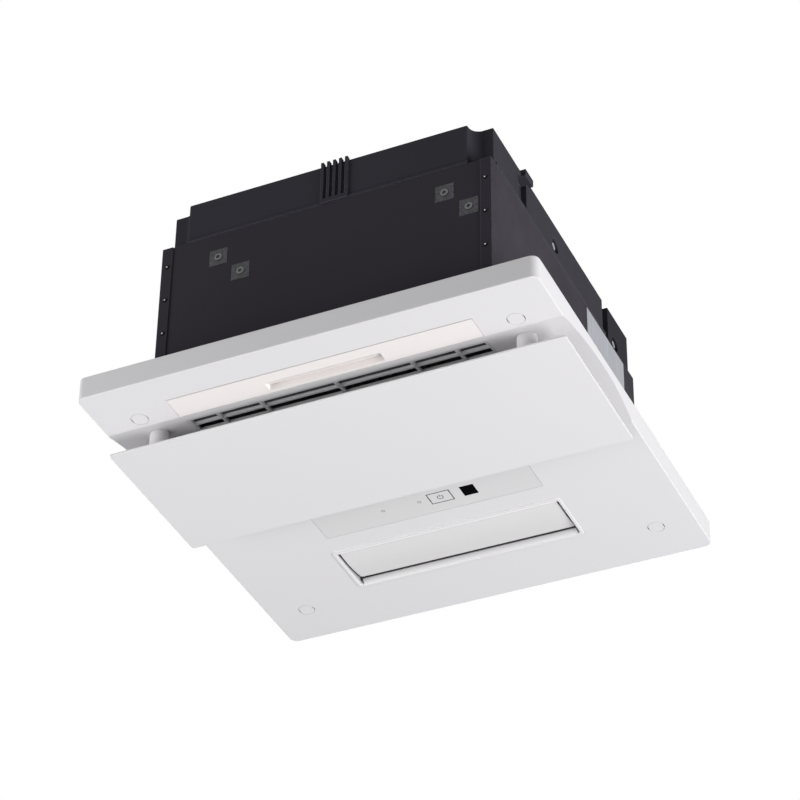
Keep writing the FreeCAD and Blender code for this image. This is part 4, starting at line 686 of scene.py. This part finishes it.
class HEATER_OT_strips(HeaterPiece, bpy.types.Operator):
    """Dresses the filter strip, the control strip with its key and the outlet, and makes the outlet's lip"""

    bl_idname = "heater.strips"
    bl_label = "Strips and outlet"

    def execute(self, context):
        look = context.scene.heater_finish
        fine = {"pores": 900.0, "depth": 0.000008, "drift": 0.008, "gloss": look.white_gloss}
        fine["rough"] = look.strip_rough
        cream = moulded("strip_white", look.strip, wear_and_highlight=1.02, **fine)
        white = moulded("outlet_white", look.outlet, wear_and_highlight=1.03, **fine)
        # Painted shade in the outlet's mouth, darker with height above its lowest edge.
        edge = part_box("outlet_frame")[0][2]
        painted_shade = (edge + look.painted_shade_from, edge + look.painted_shade_to, look.painted_shade)
        # The rim is a lighter copy of the outlet's white with strongly lighter edges: painted highlight,
        # partly also wear.
        rim = moulded("rim_white", toned(look.outlet, 1.04), soft=0.0014, wear_and_highlight=1.32, painted_shade=painted_shade, **fine)
        # The lip is a much lighter copy of the outlet's white: painted highlight along the lip.
        bright = moulded("lip_white", toned(look.outlet, 1.28), wear_and_highlight=1.0, **fine)
        pale = moulded("control_white", look.control, wear_and_highlight=1.05, **fine)
        dress(cream, "filter_front")
        dress(white, "outlet_louver")
        dress(rim, "outlet_frame")
        dress(pale, "control_strip", "mode_button")
        self.lip(context.scene.heater_fixings, bright)
        return self.done(cream, white, rim, bright, pale)

    def lip(self, sizes, bright):
        """A lip along the outlet's near wall, over the gap beside the louver's hinge."""
        mouth = NODES["outlet_frame"]
        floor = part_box("outlet_frame")[0][2] + sizes.lip_set
        low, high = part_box("outlet_louver")
        middle = Vector((0.0, (low[1] + high[1]) / 2.0, floor + sizes.lip_thick / 2.0))
        walls = [mouth.ray_cast(middle, Vector(way)) for way in ((0.0, -1.0, 0.0), (1.0, 0.0, 0.0))]
        if not all(found for found, *_ in walls):
            raise RuntimeError("the outlet has no wall beside the louver")
        wall, span = walls[0][1].y, walls[1][1].x
        edge, turn = wall + sizes.lip, sizes.lip_thick / 2.0
        inset = CORNER * turn
        lower = [(wall - sizes.lip_set, floor), (edge - turn, floor)]
        lower += [(edge - inset, floor + inset), (edge, floor + turn)]
        upper = [(y, floor + sizes.lip_thick) for y, _ in lower]
        shape = bmesh.new()
        band(shape, lower, upper, crosswise(span), 2.0 * span, False)
        settle("outlet_lip", shape, bright, "root", "strip_white")


class HEATER_OT_signals(HeaterPiece, bpy.types.Operator):
    """Dresses the receiver's window and the indicators, and prints the marks of the key"""

    bl_idname = "heater.signals"
    bl_label = "Key, receiver and indicators"

    def execute(self, context):
        look, sizes = context.scene.heater_finish, context.scene.heater_fixings
        window = dark_window("window_black", look.window, rough=0.2, gloss=0.004)
        lens = frosted("lens_clear", look.lens)
        ink = moulded("key_ink", look.ink, rough=0.6, pores=4000.0, depth=0.000004, soft=0.00002, gloss=0.2)
        dress(window, "receiver_window")
        dress(lens, "indicator_lenses")
        self.outline(sizes, ink)
        self.sign(sizes, ink)
        return self.done(window, lens, ink)

    def outline(self, sizes, ink):
        """The printed line along the key's edge."""
        left, near, right, far, floor = lower_face("mode_button")
        loops = []
        for inset in (sizes.outline, 0.0):
            x_low, x_high = left + inset, right - inset
            y_low, y_high = near + inset, far - inset
            loops.append([(x_low, y_low), (x_high, y_low), (x_high, y_high), (x_low, y_high)])
        shape = bmesh.new()
        band(shape, *loops, Matrix.Translation((0.0, 0.0, floor - sizes.ink_film)), sizes.ink_film, True)
        settle("key_outline", shape, ink, "mode_key", "window_black")

    def sign(self, sizes, ink):
        """A plain standby sign on the key: an open ring with a bar."""
        left, near, right, far, floor = lower_face("mode_button")
        middle = Matrix.Translation(((left + right) / 2.0, (near + far) / 2.0, floor - sizes.ink_film))
        line = sizes.sign_line * sizes.sign
        first, sweep = -math.pi / 2.0 + sizes.sign_gap, 2.0 * (math.pi - sizes.sign_gap)
        turns = [first + sweep * i / sizes.sides for i in range(sizes.sides + 1)]
        shape = bmesh.new()
        arcs = []
        for radius in (sizes.sign - line, sizes.sign):
            arcs.append([(radius * math.cos(turn), radius * math.sin(turn)) for turn in turns])
        band(shape, *arcs, middle, sizes.ink_film, False)
        foot, head = (share * sizes.sign for share in SIGN_BAR)
        bar = [[(side * line / 2.0, foot), (side * line / 2.0, head)] for side in (-1.0, 1.0)]
        band(shape, *bar, middle, sizes.ink_film, False)
        settle("key_sign", shape, ink, "mode_key", "window_black")


LOOKS = 120  # how often the painted shadow strip's place is looked for, in steps away from the grille's near edge
LOOK_STEP = 0.0002  # length of one such step, in metres
LOOK_BELOW = 0.01  # how far below the grille a look starts, in metres
LOOK_ASIDE = 0.35  # how far beside the middle it starts, of the painted shadow strip's half width
FACING_DOWN = -0.2  # a face whose normal has a lower Z than this faces down
BAFFLE_RISE = 0.001  # the baffle starts where the grille rises by more than this in one step, in metres


class HEATER_OT_intake(HeaterPiece, bpy.types.Operator):
    """Dresses the grille, the filter's frame, its net and its rails, and makes a dark strip of painted shadow
    behind the grille's near rim
    """

    bl_idname = "heater.intake"
    bl_label = "Grille and filter"

    def execute(self, context):
        look = context.scene.heater_finish
        grey = moulded("grille_grey", look.grille, rough=0.5, pores=800.0)
        dark = moulded("filter_dark", look.filter, rough=0.55, pores=800.0, wear_and_highlight=1.4, gloss=0.2)
        net = netting("mesh_grey", look.net)
        # Dark material of the painted shadow strip behind the grille's near rim.
        shadow_dark = moulded("seal_foam", toned(look.fitting, 5.0), rough=0.8, pores=500.0, depth=0.0002, gloss=0.0)
        dress(grey, "intake_grille")
        dress(dark, "filter_frame", "filter_rails")
        dress(net, "filter_mesh")
        self.painted_shadow(context.scene.heater_fixings, shadow_dark)
        return self.done(grey, dark, net, shadow_dark)

    def painted_shadow(self, sizes, shadow_dark):
        """A thin dark strip of painted shadow on the grille's baffle, behind the near rim, found by looking
        up from below.
        """
        grille = NODES["intake_grille"]
        low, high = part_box("intake_grille")
        span = sizes.painted_shadow_span * high[0]
        up = Vector((0.0, 0.0, 1.0))
        heights = {}
        for count in range(LOOKS):
            y = low[1] + count * LOOK_STEP
            eye = Vector((LOOK_ASIDE * span, y, low[2] - LOOK_BELOW))
            found, spot, normal, _ = grille.ray_cast(eye, up)
            if found and normal.z < FACING_DOWN:
                heights[y] = spot.z
        steps = sorted(heights)
        start = next((b for a, b in zip(steps, steps[1:]) if heights[b] - heights[a] > BAFFLE_RISE), None)
        if start is None:
            raise RuntimeError("the grille has no baffle behind its near rim")
        line = [y for y in steps if start <= y <= start + sizes.painted_shadow]
        shape = bmesh.new()
        inner = [(y, heights[y] - sizes.painted_shadow_film) for y in (line[0], line[-1])]
        outer = [(y, heights[y]) for y in (line[0], line[-1])]
        band(shape, inner, outer, crosswise(span), 2.0 * span, False)
        settle("grille_seal", shape, shadow_dark, "root", "fitting_black")


class HEATER_OT_housing(HeaterPiece, bpy.types.Operator):
    """Dresses the sheet housing, its patches and bushes, the silver plate, the flange and the inner steel"""

    bl_idname = "heater.housing"
    bl_label = "Sheet housing"

    def execute(self, context):
        look = context.scene.heater_finish
        black = coated("housing_black", look.housing, look.black_rough, gloss=look.black_gloss)
        film = embossed_film("patch_film", look.film, rough=0.4)
        silver = bare_metal("silver_plate", look.plate, rough=0.45, lines=1.3, Y=320.0, Z=9.0)
        zinc = bare_metal("zinc_steel", look.zinc, rough=0.42, lines=0.3, spangle=0.5)
        dress(black, "left_wall", "right_wall", "near_plate", "far_plate", "deck_plate", "partition_plate")
        dress(film, "hole_patches")
        dress(silver, "side_plate")
        dress(zinc, "mounting_flange", "panel_screws", "motor_screws")
        dress(zinc, "motor_shaft", "damper_shaft", "flap_pin")
        dull = bare_metal("bush_zinc", toned(look.zinc, 0.25), rough=0.45, lines=0.3)
        dress(dull, "fixing_bushes")
        return self.done(black, film, silver, zinc, dull)


class HEATER_OT_lid(HeaterPiece, bpy.types.Operator):
    """Dresses the lid, the control box, the duct adaptor, the gland and the fan's mouldings"""

    bl_idname = "heater.lid"
    bl_label = "Black mouldings"

    def execute(self, context):
        look = context.scene.heater_finish
        coarse = {"pores": 700.0, "depth": 0.00004, "soft": 0.0011, "drift": 0.1, "gloss": look.lid_gloss}
        coarse["rough"] = look.black_rough
        # The black mouldings' strongly lighter edges are partly wear and partly painted highlight.
        black = moulded("lid_black", look.lid, wear_and_highlight=3.4, **coarse)
        deep = moulded("box_black", look.box, wear_and_highlight=4.2, **coarse)
        dress(black, "lid_cover", "duct_adaptor", "cable_gland")
        dress(black, "scroll_wall", "scroll_top", "fan_floor", "inlet_ring", "outlet_duct")
        dress(deep, "control_box")
        return self.done(black, deep)


class HEATER_OT_fixings(HeaterPiece, bpy.types.Operator):
    """Makes the rivets and the screws that show, with their dimples and cross slots"""

    bl_idname = "heater.fixings"
    bl_label = "Rivets and screws"

    def execute(self, context):
        look, sizes = context.scene.heater_finish, context.scene.heater_fixings
        black = coated("black_steel", toned(look.housing, 0.1), rough=0.22, gloss=0.1)
        zinc = bpy.data.materials["zinc_steel"]
        self.rivets(sizes, black, zinc)
        self.screws("lid_screw_heads", "lid_screws", "x", sizes.side_rise, sizes, zinc)
        self.screws("duct_screw_heads", "duct_screws", "y", 0.0, sizes, zinc)
        return self.done(black)

    def rivets(self, sizes, black, zinc):
        """Blind rivets, domed, each with the steel pin that was pulled off in its hole."""
        shape, pins = bmesh.new(), bmesh.new()
        for low, high in islands("wall_rivets"):
            middle, radius, rise = (low + high) / 2.0, (high.x - low.x) / 2.0, high.y - low.y
            outward = -1.0 if middle.y < 0.0 else 1.0
            seat = Vector((middle.x, high.y if outward < 0.0 else low.y, middle.z))
            place = Matrix.Translation(seat) @ Matrix.Rotation(-outward * math.pi / 2.0, 4, "X")
            hole = radius * sizes.dimple
            outline = [(0.0, 0.0), (radius, 0.0)]
            outline += [(across * radius, up * rise) for across, up in RIVET_DOME]
            outline += [(across * hole, up * rise) for across, up in RIVET_HOLE]
            lathe(shape, outline, place, sizes.sides)
            lathe(pins, [(across * hole, up * rise) for across, up in RIVET_PIN], place, sizes.sides)
        settle("rivet_heads", shape, black, "root", "black_steel", "wall_rivets")
        settle("rivet_pins", pins, zinc, "root", "zinc_steel")

    def screws(self, name, source, axis, extra, sizes, material):
        """Pan heads with a cross slot, on the CAD screws' own places."""
        shape, plugs = bmesh.new(), bmesh.new()
        index = "xyz".index(axis)
        for low, high in islands(source):
            middle, radius = (low + high) / 2.0, (high.z - low.z) / 2.0
            span = high[index] - low[index] + extra
            outward = math.copysign(1.0, middle[index])
            seat = middle.copy()
            seat[index] = low[index] if outward > 0.0 else high[index]
            turn = Matrix.Rotation(outward * math.pi / 2.0, 4, "Y")
            if axis == "y":
                turn = Matrix.Rotation(-outward * math.pi / 2.0, 4, "X")
            place = Matrix.Translation(seat) @ turn
            dome = [(across * radius, span - drop) for across, drop in SCREW_DOME]
            lathe(shape, [(0.0, 0.0), (radius, 0.0), *dome, (0.0, span)], place, sizes.sides)
            top = place @ Matrix.Translation((0.0, 0.0, span))
            cross(plugs, top, radius * sizes.slot, radius * sizes.slot_width, sizes.slot_depth)
        piece = settle(name, shape, material, "root", "zinc_steel", source)
        carve(piece, plugs)


class HEATER_OT_fan(HeaterPiece, bpy.types.Operator):
    """Dresses the impeller, the flaps, the bearings, the motors and the thermal cut-out"""

    bl_idname = "heater.fan"
    bl_label = "Fan, flaps and motors"

    def execute(self, context):
        look = context.scene.heater_finish
        grey = moulded("impeller_grey", look.moulding, rough=0.45, pores=700.0)
        motor = coated("motor_steel", look.motor, rough=0.4)
        dress(grey, "impeller", "damper_flap", "backdraft_flap", "damper_bearings")
        dress(motor, "fan_motor", "louver_motor", "damper_motor", "thermal_cutout")
        return self.done(grey, motor)


class HEATER_OT_heat(HeaterPiece, bpy.types.Operator):
    """Dresses the heater's core and frame"""

    bl_idname = "heater.heat"
    bl_label = "Heating core"

    def execute(self, context):
        look = context.scene.heater_finish
        fins = bare_metal("heater_alloy", look.fin, rough=0.35)
        brown = moulded("heater_plastic", look.heat_frame, rough=0.55, pores=600.0)
        dress(fins, "heater_core")
        dress(brown, "heater_frame")
        return self.done(fins, brown)


class HEATER_OT_electrics(HeaterPiece, bpy.types.Operator):
    """Dresses the boards, the terminals, the switch and the standoffs"""

    bl_idname = "heater.electrics"
    bl_label = "Electrics"

    def execute(self, context):
        look = context.scene.heater_finish
        green = circuit("board_green", look.board)
        black = moulded("fitting_black", look.fitting, rough=0.5, pores=900.0, wear_and_highlight=1.8)
        dress(green, "control_board", "display_board")
        dress(black, "button_switch", "terminal_block", "board_standoffs")
        return self.done(green, black)


WHITE = (1.0, 1.0, 1.0, 1.0)
LAMP_AIM = (0.0, 0.0, 0.05)
# Each lamp's place and width in metres, and whether gloss shows it
LAMPS = {
    "key": ((2.4, -0.25, -1.5), 1.6, False),
    "fill": ((-1.4, -1.0, -0.6), 1.2, False),
    "near": ((-0.6, -2.2, -1.6), 1.2, False),
    "top": ((-0.8, 1.6, 2.2), 1.6, True),
}


class HEATER_OT_stage(bpy.types.Operator):
    """Sets the floor, the even light, the lamps and the camera"""

    bl_idname = "heater.stage"
    bl_label = "Stage"

    def execute(self, context):
        plan = context.scene.heater_stage
        context.scene.view_settings.view_transform = "Standard"
        self.floor(plan)
        self.sky(context, plan)
        for name, (spot, width, glossy) in LAMPS.items():
            self.lamp(f"{name}_lamp", spot, width, glossy, getattr(plan, name))
        self.camera(context, plan)
        return {"FINISHED"}

    def floor(self, plan):
        """A pale floor far below, white to the camera, on which the heater's shadow still falls."""
        shape = bmesh.new()
        bmesh.ops.create_grid(shape, x_segments=1, y_segments=1, size=plan.floor_side / 2.0)
        mesh = bpy.data.meshes.new("floor")
        shape.to_mesh(mesh)
        shape.free()
        floor = bpy.data.objects.new("floor", mesh)
        floor.location.z = -plan.floor_drop
        bpy.context.scene.collection.objects.link(floor)
        material = bpy.data.materials.new("pale_floor")
        material.use_nodes = True
        tree = material.node_tree
        tree.nodes.clear()
        matt = node(tree, "ShaderNodeBsdfDiffuse", Color=shade(WHITE[:3], plan.floor_grey))
        lit = node(tree, "ShaderNodeEmission", Color=WHITE, Strength=plan.floor_glow)
        seen = node(tree, "ShaderNodeAddShader")
        join(tree, seen.inputs[0], matt.outputs[0])
        join(tree, seen.inputs[1], lit.outputs[0])
        choice = node(tree, "ShaderNodeMixShader")
        join(tree, choice.inputs[0], self.shown(tree))
        join(tree, choice.inputs[1], matt.outputs[0])
        join(tree, choice.inputs[2], seen.outputs[0])
        node(tree, "ShaderNodeOutputMaterial", Surface=choice.outputs[0])
        mesh.materials.append(material)

    def shown(self, tree):
        """1 for rays that come from the camera, or from it by way of gloss or glass."""
        path = node(tree, "ShaderNodeLightPath").outputs
        direct = maths(tree, "MAXIMUM", path["Is Camera Ray"], path["Is Glossy Ray"])
        return maths(tree, "MAXIMUM", direct, path["Is Transmission Ray"])

    def sky(self, context, plan):
        """Even light from all round, which the camera sees as white."""
        world = bpy.data.worlds.new("even_light")
        context.scene.world = world
        world.use_nodes = True
        tree = world.node_tree
        tree.nodes.clear()
        light = node(tree, "ShaderNodeBackground", Color=WHITE, Strength=plan.sky)
        white = node(tree, "ShaderNodeBackground", Color=WHITE, Strength=1.0)
        choice = node(tree, "ShaderNodeMixShader")
        join(tree, choice.inputs[0], self.shown(tree))
        join(tree, choice.inputs[1], light.outputs[0])
        join(tree, choice.inputs[2], white.outputs[0])
        node(tree, "ShaderNodeOutputWorld", Surface=choice.outputs[0])

    def lamp(self, name, spot, width, glossy, watts):
        """A large soft lamp that faces the heater; where gloss doesn't show it, gloss shows the pale room."""
        light = bpy.data.lights.new(name, "AREA")
        light.size, light.energy = width, watts
        lamp = bpy.data.objects.new(name, light)
        lamp.location, lamp.visible_glossy = spot, glossy
        lamp.rotation_euler = (Vector(LAMP_AIM) - Vector(spot)).to_track_quat("-Z", "Y").to_euler()
        bpy.context.scene.collection.objects.link(lamp)

    def camera(self, context, plan):
        """The camera of the photograph."""
        lens = bpy.data.cameras.new("camera")
        lens.lens, lens.sensor_width, lens.clip_end = plan.focal, plan.sensor, plan.reach
        eye = bpy.data.objects.new("camera", lens)
        context.scene.collection.objects.link(eye)
        turn, rise, roll = plan.azimuth, plan.elevation, plan.roll
        back = Vector((math.sin(turn) * math.cos(rise), -math.cos(turn) * math.cos(rise), math.sin(rise)))
        right = Vector((math.cos(turn), math.sin(turn), 0.0))
        up = back.cross(right)
        across = math.cos(roll) * right + math.sin(roll) * up
        above = math.cos(roll) * up - math.sin(roll) * right
        axes = Matrix((across, above, back)).transposed()
        eye.matrix_world = Matrix.Translation(plan.camera_at) @ axes.to_4x4()
        context.scene.camera = eye


# Sidebar and registration

PIECES = (
    HEATER_OT_effects, HEATER_OT_panel, HEATER_OT_strips, HEATER_OT_signals, HEATER_OT_intake,
    HEATER_OT_housing, HEATER_OT_lid, HEATER_OT_fixings, HEATER_OT_fan, HEATER_OT_heat,
    HEATER_OT_electrics, HEATER_OT_stage,
)


class HEATER_PT_sidebar(bpy.types.Panel):
    """Lists the heater's pieces and what can be changed"""

    bl_label = "Ceiling heater"
    bl_idname = "HEATER_PT_sidebar"
    bl_space_type = "VIEW_3D"
    bl_region_type = "UI"
    bl_category = "Heater"

    def draw(self, context):
        column = self.layout.column()
        for piece in PIECES:
            column.operator(piece.bl_idname)
        for group in (context.scene.heater_finish, context.scene.heater_fixings, context.scene.heater_stage):
            for name in group.__annotations__:
                column.prop(group, name)


GROUPS = {"heater_finish": HeaterFinish, "heater_fixings": HeaterFixings, "heater_stage": HeaterStage}


def register():
    """Adds the classes and the scene's settings."""
    for kind in (*GROUPS.values(), *PIECES, HEATER_PT_sidebar):
        bpy.utils.register_class(kind)
    for name, kind in GROUPS.items():
        setattr(bpy.types.Scene, name, PointerProperty(type=kind))


def unregister():
    """Takes the scene's settings and the classes away again."""
    for name in GROUPS:
        delattr(bpy.types.Scene, name)
    for kind in reversed((*GROUPS.values(), *PIECES, HEATER_PT_sidebar)):
        bpy.utils.unregister_class(kind)


def main():
    """Makes every piece and the stage."""
    register()
    for piece in PIECES:
        family, name = piece.bl_idname.split(".")
        getattr(getattr(bpy.ops, family), name)()


if __name__ == "__main__":
    main()
